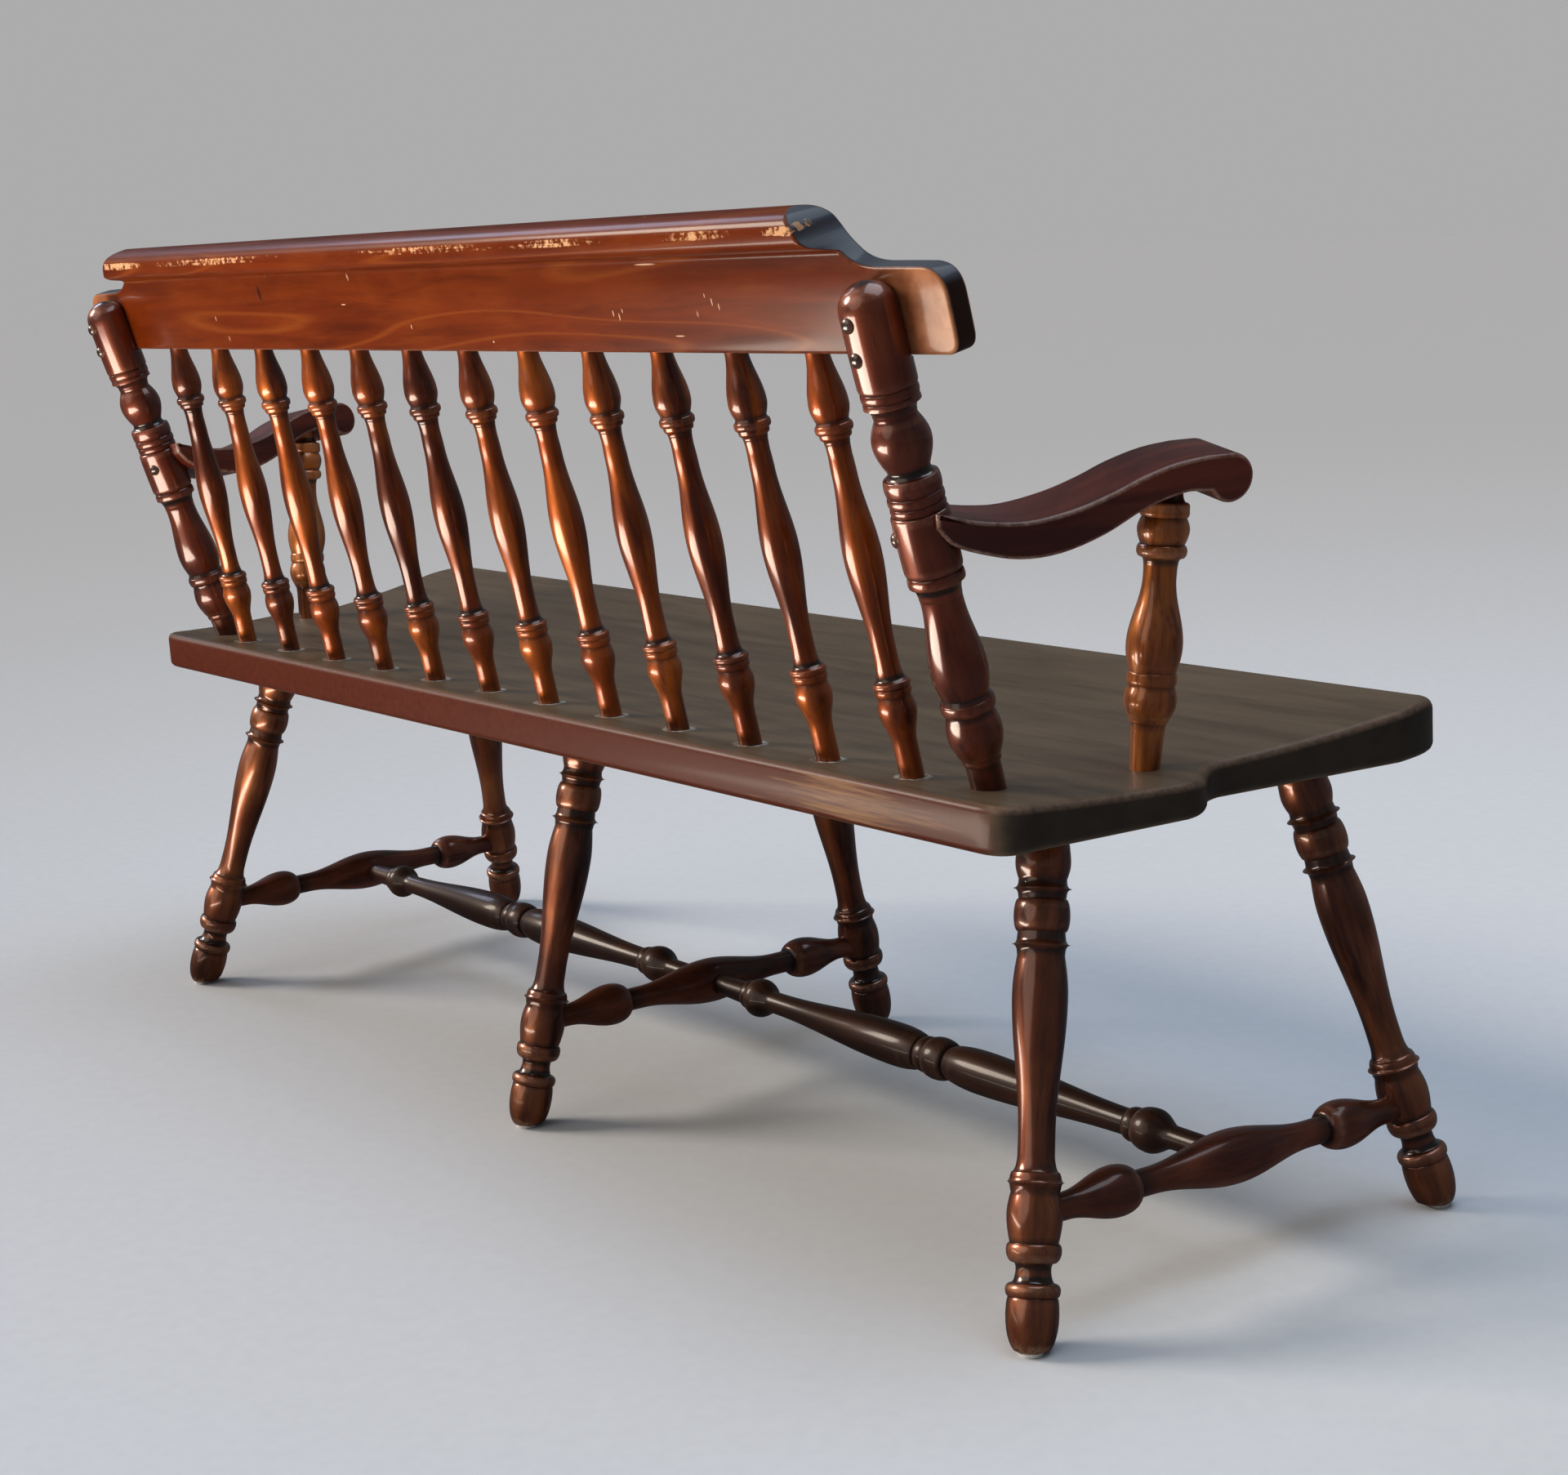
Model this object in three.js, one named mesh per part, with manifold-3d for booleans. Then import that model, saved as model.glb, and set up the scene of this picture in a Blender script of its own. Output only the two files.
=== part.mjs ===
// A deacon's bench: a dished plank seat on six splayed turned legs with an H of turned stretchers,
// twelve turned spindles, two turned back posts, a rolled crest rail and two scrolled arms.
// Millimetres, +Z up. +X runs along the bench and the back rises on the +Y side. Left is -X, as seen
// from the front. The origin is on the floor, at the middle of the bench's box.
import * as THREE from "three";
import { mergeVertices } from "three/addons/utils/BufferGeometryUtils.js";
import Module from "manifold-3d";

const wasm = await Module();
wasm.setup();

// Fits
const clearance = 0.3; // between pieces that touch
const overrun = 20; // how far a cutter passes the face it opens
const weld = 1e-4; // vertices nearer than this are one

// Seat: heights are taken at the row of spindles, depths from the middle line of the feet
const seatHeight = 430;
const seatThickness = 36.3;
const seatBackY = 232;
const seatDepth = 454;
const seatUndersideSlopeShare = -0.03;
const seatFrontRise = 21.5;
const seatHalfLength = 788; // at the front corners
const seatRearInset = 48; // how much less that is at the rear corners, the shoulders and the waists
const seatShoulderInset = 17;
const seatWaistInset = 45;
const seatRearCorner = 34;
const seatFrontCorner = 30;
const seatShoulderSetback = 166; // from the back edge
const seatWaistSetback = 228;
const seatEdgeRound = 9; // rounding of the rear edge and of both lower edges
const seatNoseRound = 16; // rounding of the front edge's top
const seatFrontY = seatBackY - seatDepth;
const seatRearHalf = seatHalfLength - seatRearInset;
const seatShoulderHalf = seatHalfLength - seatShoulderInset;
const seatWaistHalf = seatHalfLength - seatWaistInset;
const seatShoulderY = seatBackY - seatShoulderSetback;
const seatWaistY = seatBackY - seatWaistSetback;

// Legs: where each foot stands from the seat's corners and edges, and how far its axis leans for each
// unit that it rises
const legRadius = 22;
const rearFootEndInset = 2.5;
const frontFootEndInset = 21;
const rearFootSetback = 6; // inwards from the back edge
const middleRearFootSetback = 8.5;
const frontFootOverhang = 4; // outwards from the front edge
const middleFrontFootOverhang = 6.4;
const rearLeanShares = { x: -0.207, y: -0.284 };
const frontLeanShares = { x: -0.225, y: 0.18 };
const legTenonRadius = 13.5;
const legTenonCover = 14.3; // seat left beyond the end of a leg's or a back post's tenon

// Glides under the feet
const glideRadius = 9.5;
const glideThickness = 3.5;
const glideEdge = 0.8;
const glideNailRadius = 1.2;
const glideNailLength = 10;

// Stretchers: where they meet the legs, measured up the leg's axis
const crossRiseRear = 106;
const crossRiseFront = 94;
const crossRadius = 22.7;
const medialRadius = 20.6;
const stretcherEndGap = 6; // from a tenon's end to the axis of the piece that holds it
const crossTenonRadius = 10.5;
const medialTenonRadius = 10;

// Back: a row of spindles between two posts, under the crest
const spindleCount = 12;
const spindleSetback = 40.6; // from the seat's back edge to the row
const spindleEndInset = 151.4; // from the seat's rear corner to the last spindle
const spindleTopEndInset = 175.2; // the same from the crest's end
const spindleRadius = 15.6;
const spindleSeatTenonRadius = 9.5;
const spindleSeatTenonCover = 16.3; // seat left beyond the end of a spindle's or an arm post's tenon
const spindleCrestTenonWall = 4.75; // crest left in front of a spindle's tenon and behind it
const spindleCrestTenonDepth = 14;
const postEndInset = 75.2;
const postSetback = 53.1;
const postLeanShares = { x: 0.0255, y: 0.2748 };
const postHead = 57.3; // how far the post's axis passes the crest's lower edge
const postRadius = 22.7;
const postTenonRadius = 13.8;

// Crest rail: a board with a roll along its top, raked back, lying on flats cut in the posts
const crestLowerHeight = 336.7; // from the seat to the board's lower edge
const crestFlatInset = 13.15; // from the post's axis forwards to the crest's back face
const crestRake = THREE.MathUtils.degToRad(12.4);
const crestThickness = 20.5;
const crestEndOverhang = 4.5; // past the seat's rear corner
const crestEarHeight = 65.5;
const crestStepHeight = 12.5; // from the ear's top up to the roll's underside
const crestEarLowerCorner = 14;
const crestEarUpperCorner = 20;
const crestEarFlat = 68.5; // from the end to where the ear's top starts to sweep up
const crestScrollInset = 108.5; // to where the sweep meets the roll
const crestRollInset = 132.5; // to where the roll ends
const crestRollShoulder = 18;
const rollHeight = 36.5;
const rollOverhang = 26; // how far the roll stands out behind the board
const rollLipRise = 12; // from the roll's underside to the flat of its lip
const rollLipHeight = 13;
const rollFrontDrop = 22.5; // from the top down to where the front face's rounding starts
const rollUnderside = crestEarHeight + crestStepHeight;
const rollLipLow = rollUnderside + rollLipRise;
const rollLipHigh = rollLipLow + rollLipHeight;
const crestHeight = rollUnderside + rollHeight;
const crestHalf = seatRearHalf + crestEndOverhang;

// Arms
const armHeight = 210; // above the seat, where the arm's middle line meets the post's axis
const armSplay = THREE.MathUtils.degToRad(14); // outwards, towards the front
const armTilt = THREE.MathUtils.degToRad(8.5); // the inner edge is the higher one
const armWidth = 62;
const armInset = 4; // from the post's axis to the arm's middle line, inwards
const armLength = 271;
const knuckleRadius = 19.5;
const knuckleWrap = THREE.MathUtils.degToRad(243); // how far the knuckle rolls, from the top
const armPostSetback = 59; // from the arm's front end back to its post
const armPostFootInset = 12; // from the top of the arm's post in to its foot
const armPostFootSetback = 22.1; // and back to it
const armPostRadius = 22;
const armPostSeatTenonRadius = 11.8;
const armPostArmTenonRadius = 8.5;
const armPostArmTenonDepth = 13;
const armPostAt = armLength - armPostSetback;

// Screws through the posts, and the wooden buttons that hide them
const screwHeadRadius = 5.2;
const screwHeadHeight = 3;
const screwShankRadius = 2.2;
const crestScrewCover = 7.5; // crest left in front of a screw's tip
const armScrewBite = 13; // how deep the screw goes into the arm
const counterboreDepth = 12.7; // from the post's surface
const buttonRadius = 6.2;
const buttonStand = 3.6; // above the post's surface
const crestScrewRise = { lower: 4.3, upper: 30.3 }; // along the post from the crest's lower edge
const armScrewDrop = 5.3; // along the post, below the arm's middle line
const armScrewTurn = THREE.MathUtils.degToRad(34); // from straight back, towards the bench's middle

// Fineness of the round work
const legSides = 12;
const postSides = 12;
const spindleSides = 10;
const stretcherSides = 10;
const smallSides = 6;
const profileStepLength = 15; // length of one step along a turned profile
const mostSteps = 3;
const curveSteps = 4; // steps in a drawn curve
const domeSteps = 3;

// Finishes
const finish = (color, roughness, metalness = 0) =>
  new THREE.MeshStandardMaterial({ color, roughness, metalness });
const seatWood = finish(0x3a1f14, 0.35);
const turnedWood = finish(0x4a2315, 0.3);
const railWood = finish(0x54281a, 0.32);
const armWood = finish(0x34190f, 0.33);
const buttonWood = finish(0x3c1d13, 0.4);
const steel = finish(0x8d8d88, 0.45, 0.9);
const glidePlastic = finish(0xdad6cc, 0.5);

// Turnings. Each row is a height as a share of the turned length, a radius as a share of the piece's
// own radius, and how the surface gets there from the row before: a straight line, a crown (a convex
// quarter of an ellipse), a swell (a gentler convex curve), a hollow (a concave quarter of an ellipse)
// or an ease (an S from level to level).
const legTurningShares = [
  [0, 0.43, "line"],
  [0.07, 1, "crown"], // ball foot
  [0.103, 0.87, "crown"],
  [0.117, 0.98, "line"], // ring
  [0.128, 0.8, "line"],
  [0.154, 0.63, "hollow"], // neck
  [0.187, 0.99, "ease"],
  [0.201, 0.87, "line"],
  [0.251, 1, "swell"], // barrel that holds the stretcher
  [0.295, 0.87, "swell"],
  [0.312, 1.02, "line"], // ankle ring
  [0.324, 0.9, "line"],
  [0.36, 0.67, "hollow"],
  [0.396, 0.66, "line"],
  [0.657, 1, "ease"], // long vase
  [0.731, 0.85, "swell"],
  [0.751, 1.04, "line"], // collar
  [0.763, 0.86, "line"],
  [0.775, 0.85, "line"],
  [0.805, 1.01, "crown"],
  [0.837, 0.85, "crown"],
  [0.856, 1.04, "line"], // top ring
  [0.868, 0.87, "line"],
  [0.905, 1, "swell"],
  [0.965, 0.62, "ease"],
];
const postTurningShares = [
  [0, 0.61, "line"],
  [0.062, 0.63, "line"],
  [0.12, 0.965, "swell"],
  [0.162, 0.84, "swell"],
  [0.177, 0.95, "line"], // ring
  [0.187, 0.94, "line"],
  [0.198, 0.82, "line"],
  [0.249, 0.99, "swell"], // vase
  [0.388, 0.72, "ease"],
  [0.43, 0.98, "hollow"],
  [0.447, 0.9, "line"],
  [0.459, 1, "line"], // plain length that the arm is coped to
  [0.56, 1, "line"],
  [0.567, 0.9, "line"],
  [0.592, 0.96, "line"], // two fine rings
  [0.604, 0.91, "line"],
  [0.622, 0.97, "line"],
  [0.648, 0.72, "hollow"],
  [0.703, 1, "swell"], // ball
  [0.749, 0.73, "swell"],
  [0.774, 0.98, "hollow"],
  [0.784, 0.93, "line"],
  [0.794, 0.98, "line"],
  [0.803, 0.94, "line"],
  [0.811, 1, "line"], // head
  [0.956, 1, "line"],
  [1, 0, "crown"], // domed top
];
const spindleTurningShares = [
  [0, 0.62, "line"],
  [0.085, 0.64, "line"],
  [0.165, 1, "ease"],
  [0.198, 0.85, "line"],
  [0.225, 0.99, "line"], // ring
  [0.235, 0.79, "line"],
  [0.29, 0.62, "hollow"],
  [0.317, 0.62, "line"],
  [0.53, 0.98, "ease"], // long swelling
  [0.717, 0.64, "ease"],
  [0.792, 0.64, "line"],
  [0.826, 0.97, "hollow"], // ring
  [0.841, 0.82, "line"],
  [0.875, 1, "swell"],
  [1, 0.6, "ease"],
];
const armPostTurningShares = [
  [0, 0.54, "line"],
  [0.165, 0.64, "line"],
  [0.245, 0.96, "swell"],
  [0.295, 0.85, "swell"],
  [0.317, 0.9, "line"], // ring
  [0.336, 0.9, "line"],
  [0.345, 0.85, "line"],
  [0.438, 1.01, "swell"], // vase
  [0.671, 0.6, "ease"],
  [0.72, 0.61, "line"],
  [0.771, 0.89, "hollow"],
  [0.794, 0.78, "line"],
  [0.847, 0.93, "swell"],
  [0.889, 0.8, "swell"],
  [0.912, 0.87, "line"], // ring under the arm
  [0.926, 0.87, "line"],
  [0.94, 0.76, "line"],
  [1, 0.56, "hollow"],
];
const crossTurningShares = [
  [0, 0.46, "line"],
  [0.073, 0.49, "line"],
  [0.198, 0.92, "ease"], // bulb
  [0.245, 0.5, "crown"],
  [0.29, 0.5, "line"],
  [0.5, 1, "ease"], // barrel that holds the medial stretcher
  [0.71, 0.5, "ease"],
  [0.755, 0.5, "line"],
  [0.802, 0.92, "crown"],
  [0.927, 0.49, "ease"],
  [1, 0.46, "line"],
];
const medialTurningShares = [
  [0, 0.485, "line"],
  [0.085, 0.5, "line"],
  [0.119, 0.94, "ease"], // bulb and ring
  [0.141, 0.68, "crown"],
  [0.148, 0.74, "line"],
  [0.157, 0.56, "line"],
  [0.413, 0.98, "ease"], // first barrel
  [0.473, 0.66, "crown"],
  [0.495, 0.98, "crown"], // bulb and ring at the middle
  [0.511, 0.78, "crown"],
  [0.518, 0.84, "line"],
  [0.529, 0.67, "line"],
  [0.579, 1, "crown"], // second barrel
  [0.842, 0.53, "ease"],
  [0.874, 0.94, "ease"], // bulb and ring
  [0.888, 0.7, "crown"],
  [0.895, 0.74, "line"],
  [0.903, 0.57, "line"],
  [0.95, 0.5, "line"],
  [1, 0.485, "line"],
];

// The dish of the seat's top, from the rear edge to the nose: a depth as a share of the seat's depth
// and a rise above the row of spindles as a share of the front's rise
const dishRearShares = [
  [0, 0.12],
  [0.09, 0],
  [0.247, -0.116],
];
const dishFrontShares = [
  [0.335, -0.116],
  [0.4, -0.09],
  [0.51, 0.01],
  [0.62, 0.18],
  [0.73, 0.42],
  [0.84, 0.74],
  [0.93, 0.98],
];

// The arm from the side, as shares of its length: along it, and above its zero.
const armTopShares = [
  [-0.01, 0.055],
  [0.11, 0.026],
  [0.3, 0.008],
  [0.43, 0.028],
  [0.54, 0.06],
  [0.64, 0.098],
  [0.75, 0.127],
  [0.85, 0.138],
];
const armUnderShares = [
  [0.83, 0.036],
  [0.77, 0.036],
  [0.65, 0.003],
  [0.52, -0.058],
  [0.385, -0.096],
  [0.255, -0.1],
  [0.125, -0.07],
  [0.04, -0.035],
  [-0.005, 0.012],
];

const vector = (x, y, z) => new THREE.Vector3(x, y, z);
const upwards = vector(0, 0, 1);
const alongBench = vector(1, 0, 0);
const backwards = vector(0, 1, 0);

// How far up and how far outwards (or inwards) a step of a turned profile is at a share of its turn.
function wayAt(way, share, grows) {
  if (way === "line") return [share, share];
  if (way === "ease") return [share, (1 - Math.cos(share * Math.PI)) / 2];
  const sine = Math.sin((share * Math.PI) / 2);
  const versine = 1 - Math.cos((share * Math.PI) / 2);
  if (way === "swell") return [share, grows ? sine : versine];
  return (way === "crown") === grows ? [versine, sine] : [sine, versine];
}

// A turned profile as points (radius, height).
function turnedProfile(shares, length, radius) {
  const [[startHeight, startRadius]] = shares;
  let last = new THREE.Vector2(startRadius * radius, startHeight * length);
  const points = [last];
  for (const [heightShare, radiusShare, way] of shares.slice(1)) {
    const next = new THREE.Vector2(radiusShare * radius, heightShare * length);
    const step = next.clone().sub(last);
    const wanted = Math.max(1, Math.round(step.length() / profileStepLength));
    const steps = way === "line" ? 1 : Math.min(mostSteps, wanted);
    for (let i = 1; i <= steps; i++) {
      const [up, out] = wayAt(way, i / steps, step.x > 0);
      points.push(new THREE.Vector2(last.x + step.x * out, last.y + step.y * up));
    }
    last = next;
  }
  return points;
}

// A solid of revolution about Z from points (radius, height), closed on the axis at both ends.
function turned(points, sides) {
  const closed = [new THREE.Vector2(0, points[0].y), ...points];
  const top = points[points.length - 1];
  if (top.x > 0) closed.push(new THREE.Vector2(0, top.y));
  else top.x = 0;
  return new THREE.LatheGeometry(closed, sides).rotateX(Math.PI / 2);
}

// The same with a round tenon at either end; a tenon that is missing has no length.
function turnedWithTenons(profile, sides, lower, upper) {
  const points = profile.map((p) => p.clone());
  const first = points[0];
  const last = points[points.length - 1];
  const straight = (radius, heights) => heights.map((h) => new THREE.Vector2(radius, h));
  if (lower) points.unshift(...straight(lower.radius, [first.y - lower.depth, first.y]));
  if (upper) points.push(...straight(upper.radius, [last.y, last.y + upper.depth]));
  return turned(points, sides);
}

// The frame whose Z runs from one point towards another, with X kept near the bench's length.
function axisFrame(from, towards) {
  const z = towards.clone().sub(from).normalize();
  const near = Math.abs(z.x) > Math.abs(z.y) && Math.abs(z.x) > Math.abs(z.z) ? upwards : alongBench;
  const x = near.clone().addScaledVector(z, -near.dot(z)).normalize();
  return new THREE.Matrix4().makeBasis(x, z.clone().cross(x), z).setPosition(from);
}

// A round cutter along a line, from one distance to another.
function bore(from, towards, radius, start, end, sides) {
  const cutter = new THREE.CylinderGeometry(radius, radius, end - start, sides);
  cutter.rotateX(Math.PI / 2).translate(0, 0, (start + end) / 2);
  return cutter.applyMatrix4(axisFrame(from, towards));
}

function solidOf(geometry) {
  const bare = geometry.index ? geometry.toNonIndexed() : geometry.clone();
  bare.deleteAttribute("normal");
  bare.deleteAttribute("uv");
  const merged = mergeVertices(bare, weld);
  const vertProperties = merged.attributes.position.array;
  const triVerts = new Uint32Array(merged.index.array);
  return new wasm.Manifold(new wasm.Mesh({ numProp: 3, vertProperties, triVerts }));
}

function geometryOf(solid) {
  const { numProp, vertProperties, triVerts } = solid.getMesh();
  const position = new THREE.InterleavedBuffer(vertProperties, numProp);
  const geometry = new THREE.BufferGeometry();
  geometry.setAttribute("position", new THREE.InterleavedBufferAttribute(position, 3, 0));
  geometry.setIndex(new THREE.BufferAttribute(triVerts, 1));
  const flat = geometry.toNonIndexed();
  flat.computeVertexNormals();
  return flat;
}

const bench = new THREE.Group();

// Adds one piece: its shape in a frame of its own, less cutters that are given in the bench's frame.
function addPiece(name, geometry, material, frame, cutters = []) {
  let shape = geometry;
  if (cutters.length) {
    const intoFrame = frame.clone().invert();
    const cut = (solid, cutter) => solid.subtract(solidOf(cutter.clone().applyMatrix4(intoFrame)));
    shape = geometryOf(cutters.reduce(cut, solidOf(geometry)));
  }
  const mesh = new THREE.Mesh(shape, material);
  mesh.name = name;
  mesh.applyMatrix4(frame);
  bench.add(mesh);
}

const still = new THREE.Matrix4();

// Seat surfaces, as heights over a depth
const spindleRowY = seatBackY - spindleSetback;
const undersideAt = (y) => seatHeight - seatThickness + seatUndersideSlopeShare * (y - spindleRowY);
const dishPoint = ([depthShare, riseShare]) =>
  new THREE.Vector2(seatBackY - depthShare * seatDepth, seatHeight + riseShare * seatFrontRise);
const dishRear = dishRearShares.map(dishPoint);
const dishFront = dishFrontShares.map(dishPoint);
const dish = [...dishRear, ...dishFront];

// The height of the seat's top at a depth, between the dish's points.
function seatTopAt(y) {
  const i = Math.max(
    dish.findIndex((p) => p.x <= y),
    1,
  );
  const [a, b] = [dish[i - 1], dish[i]];
  return a.y + ((b.y - a.y) * (y - a.x)) / (b.x - a.x);
}

// Joint points. Sides: -1 is left, +1 is right.
const sides = [
  { name: "left", sign: -1 },
  { name: "middle", sign: 0 },
  { name: "right", sign: 1 },
];
const ends = sides.filter((side) => side.sign !== 0);

const legRows = [
  {
    row: "rear",
    lean: rearLeanShares,
    crossRise: crossRiseRear,
    endX: seatRearHalf - rearFootEndInset,
    endY: seatBackY - rearFootSetback,
    middleY: seatBackY - middleRearFootSetback,
  },
  {
    row: "front",
    lean: frontLeanShares,
    crossRise: crossRiseFront,
    endX: seatHalfLength - frontFootEndInset,
    endY: seatFrontY - frontFootOverhang,
    middleY: seatFrontY - middleFrontFootOverhang,
  },
];
const legs = sides.flatMap((side) =>
  legRows.map(({ row, lean, crossRise, endX, endY, middleY }) => {
    const foot = vector(side.sign * endX, side.sign ? endY : middleY, 0);
    const direction = vector(side.sign * lean.x, lean.y, 1);
    const rise = undersideAt(foot.y) / (1 - seatUndersideSlopeShare * lean.y);
    const top = foot.clone().addScaledVector(direction, rise);
    const joint = foot.clone().addScaledVector(direction.clone().normalize(), crossRise);
    const length = foot.distanceTo(top);
    return { name: `${row}_${side.name}`, side: side.name, row, foot, top, joint, length };
  }),
);
const legAt = (row, side) => legs.find((leg) => leg.row === row && leg.side === side);

const crosses = sides.map((side) => {
  const rear = legAt("rear", side.name).joint;
  const front = legAt("front", side.name).joint;
  const middle = rear.clone().lerp(front, 0.5);
  return { name: side.name, rear, front, middle, length: rear.distanceTo(front) };
});
const medials = ends.map((side) => {
  const outer = crosses.find((cross) => cross.name === side.name).middle;
  const inner = crosses.find((cross) => cross.name === "middle").middle;
  // Both are turned the same way round: the rings face the bench's right end.
  const [from, to] = side.sign < 0 ? [outer, inner] : [inner, outer];
  return { name: side.name, from, to, length: from.distanceTo(to) };
});

const postRise = (post, distance) => post.base.clone().addScaledVector(post.direction, distance);
const postY = seatBackY - postSetback;
const posts = ends.map((side) => {
  const base = vector(side.sign * (seatRearHalf - postEndInset), postY, seatTopAt(postY));
  const direction = vector(side.sign * postLeanShares.x, postLeanShares.y, 1).normalize();
  return { ...side, base, direction };
});
const postStretch = Math.hypot(postLeanShares.x, postLeanShares.y, 1); // along the post for each unit up
const crestLowerAlongPost = (seatHeight + crestLowerHeight - seatTopAt(postY)) * postStretch;
const postLength = crestLowerAlongPost + postHead;

// The crest's frame: x along the bench, up its board, and out of its back face.
const crestUp = vector(0, Math.sin(crestRake), Math.cos(crestRake));
const crestOut = vector(0, Math.cos(crestRake), -Math.sin(crestRake));
const crestOrigin = postRise(posts[0], crestLowerAlongPost).setX(0).sub(vector(0, crestFlatInset, 0));
const crestMiddle = crestOrigin.clone().addScaledVector(crestOut, -crestThickness / 2);

const spindles = Array.from({ length: spindleCount }, (_, i) => {
  const share = (2 * i) / (spindleCount - 1) - 1;
  const base = vector(share * (seatRearHalf - spindleEndInset), spindleRowY, seatTopAt(spindleRowY));
  const top = crestMiddle.clone().setX(share * (crestHalf - spindleTopEndInset));
  return { name: `spindle_${String(i + 1).padStart(2, "0")}`, base, top };
});

// An arm's frame: forward along it, up out of its top and across it; its zero is on the post's axis.
const arms = ends.map((side) => {
  const post = posts.find((p) => p.name === side.name);
  const onAxis = postRise(post, armHeight * postStretch);
  const forward = vector(side.sign * Math.sin(armSplay), -Math.cos(armSplay), 0);
  const level = vector(-side.sign * Math.cos(armSplay), -Math.sin(armSplay), 0); // inwards
  const inwards = level.multiplyScalar(Math.cos(armTilt)).addScaledVector(upwards, Math.sin(armTilt));
  const up = forward.clone().cross(inwards).multiplyScalar(side.sign);
  if (up.z < 0) up.negate();
  const origin = onAxis.clone().addScaledVector(inwards, armInset);
  const at = (s, h) => origin.clone().addScaledVector(forward, s).addScaledVector(up, h);
  return { ...side, post, forward, up, origin, at };
});

const armUndersideAt = (s) => {
  const i = Math.max(
    armUnderShares.findIndex(([along]) => along * armLength <= s),
    1,
  );
  const [[s0, h0], [s1, h1]] = [armUnderShares[i - 1], armUnderShares[i]];
  return armLength * (h0 + ((h1 - h0) * (s / armLength - s0)) / (s1 - s0));
};
const armPosts = arms.map((arm) => {
  const top = arm.at(armPostAt, armUndersideAt(armPostAt) - clearance);
  const base = vector(top.x - arm.sign * armPostFootInset, top.y + armPostFootSetback, 0);
  base.z = seatTopAt(base.y);
  return { ...arm, base, top, length: base.distanceTo(top) };
});

// Screws: where each crosses a post's axis, and which way its head faces.
const screwSeat = postRadius - counterboreDepth;
const screws = posts.flatMap((post) => {
  const level = vector(-post.sign * Math.sin(armScrewTurn), Math.cos(armScrewTurn), 0);
  const armWay = level.addScaledVector(post.direction, -level.dot(post.direction)).normalize();
  const intoCrest = Object.entries(crestScrewRise).map(([key, rise]) => {
    const at = postRise(post, crestLowerAlongPost + rise);
    return { name: `${post.name}_crest_${key}`, post, at, way: crestOut, holds: "crest" };
  });
  const armAt = postRise(post, armHeight * postStretch - armScrewDrop);
  return [...intoCrest, { name: `${post.name}_arm`, post, at: armAt, way: armWay, holds: "arm" }];
});
const crestDistance = ({ at }) => at.clone().sub(crestOrigin).dot(crestOut);
const crestBite = crestThickness - crestScrewCover;
const screwReach = (screw) =>
  screw.holds === "crest" ? crestDistance(screw) + crestBite : postRadius + armScrewBite;
const screwBore = (screw, radius, start, end) =>
  bore(screw.at, screw.at.clone().add(screw.way), radius, start, end, smallSides);

// Seat plank
function seatPlan() {
  const plan = new THREE.Shape();
  const half = [
    (s) => plan.lineTo(s * (seatRearHalf - seatRearCorner), seatBackY),
    (s) => plan.quadraticCurveTo(s * seatRearHalf, seatBackY, s * seatRearHalf, seatBackY - seatRearCorner),
    (s) => plan.lineTo(s * seatShoulderHalf, seatShoulderY),
    (s) => {
      const middleY = (seatShoulderY + seatWaistY) / 2;
      const [wide, narrow] = [s * seatShoulderHalf, s * seatWaistHalf];
      plan.bezierCurveTo(wide, middleY, narrow, middleY, narrow, seatWaistY);
    },
    (s) => plan.lineTo(s * seatHalfLength, seatFrontY + 2 * seatFrontCorner),
    (s) => {
      const cornerX = seatHalfLength - seatFrontCorner;
      plan.quadraticCurveTo(s * seatHalfLength, seatFrontY, s * cornerX, seatFrontY);
    },
  ];
  plan.moveTo(0, seatBackY);
  half.forEach((draw) => draw(1));
  const right = plan.getPoints(curveSteps).filter((p) => p.x > 0);
  const left = right.map((p) => new THREE.Vector2(-p.x, p.y)).reverse();
  return new THREE.Shape([...right, ...left].reverse());
}

function seatSection() {
  const section = new THREE.Shape();
  const [rearTop] = dishRear;
  const nose = dishFront[dishFront.length - 1];
  const rearUnder = undersideAt(seatBackY);
  const frontUnder = undersideAt(seatFrontY);
  section.moveTo(seatBackY - seatEdgeRound, rearUnder);
  section.quadraticCurveTo(seatBackY, rearUnder, seatBackY, rearUnder + seatEdgeRound);
  section.lineTo(seatBackY, rearTop.y - seatEdgeRound);
  section.quadraticCurveTo(seatBackY, rearTop.y, seatBackY - seatEdgeRound, rearTop.y);
  section.splineThru(dishRear.slice(1));
  section.lineTo(dishFront[0].x, dishFront[0].y);
  section.splineThru(dishFront.slice(1));
  section.quadraticCurveTo(seatFrontY, nose.y, seatFrontY, nose.y - seatNoseRound);
  section.lineTo(seatFrontY, frontUnder + seatEdgeRound);
  section.quadraticCurveTo(seatFrontY, frontUnder, seatFrontY + seatEdgeRound, frontUnder);
  section.closePath();
  return section;
}

const deepTenon = seatThickness - legTenonCover;
const shallowTenon = seatThickness - spindleSeatTenonCover;

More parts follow.
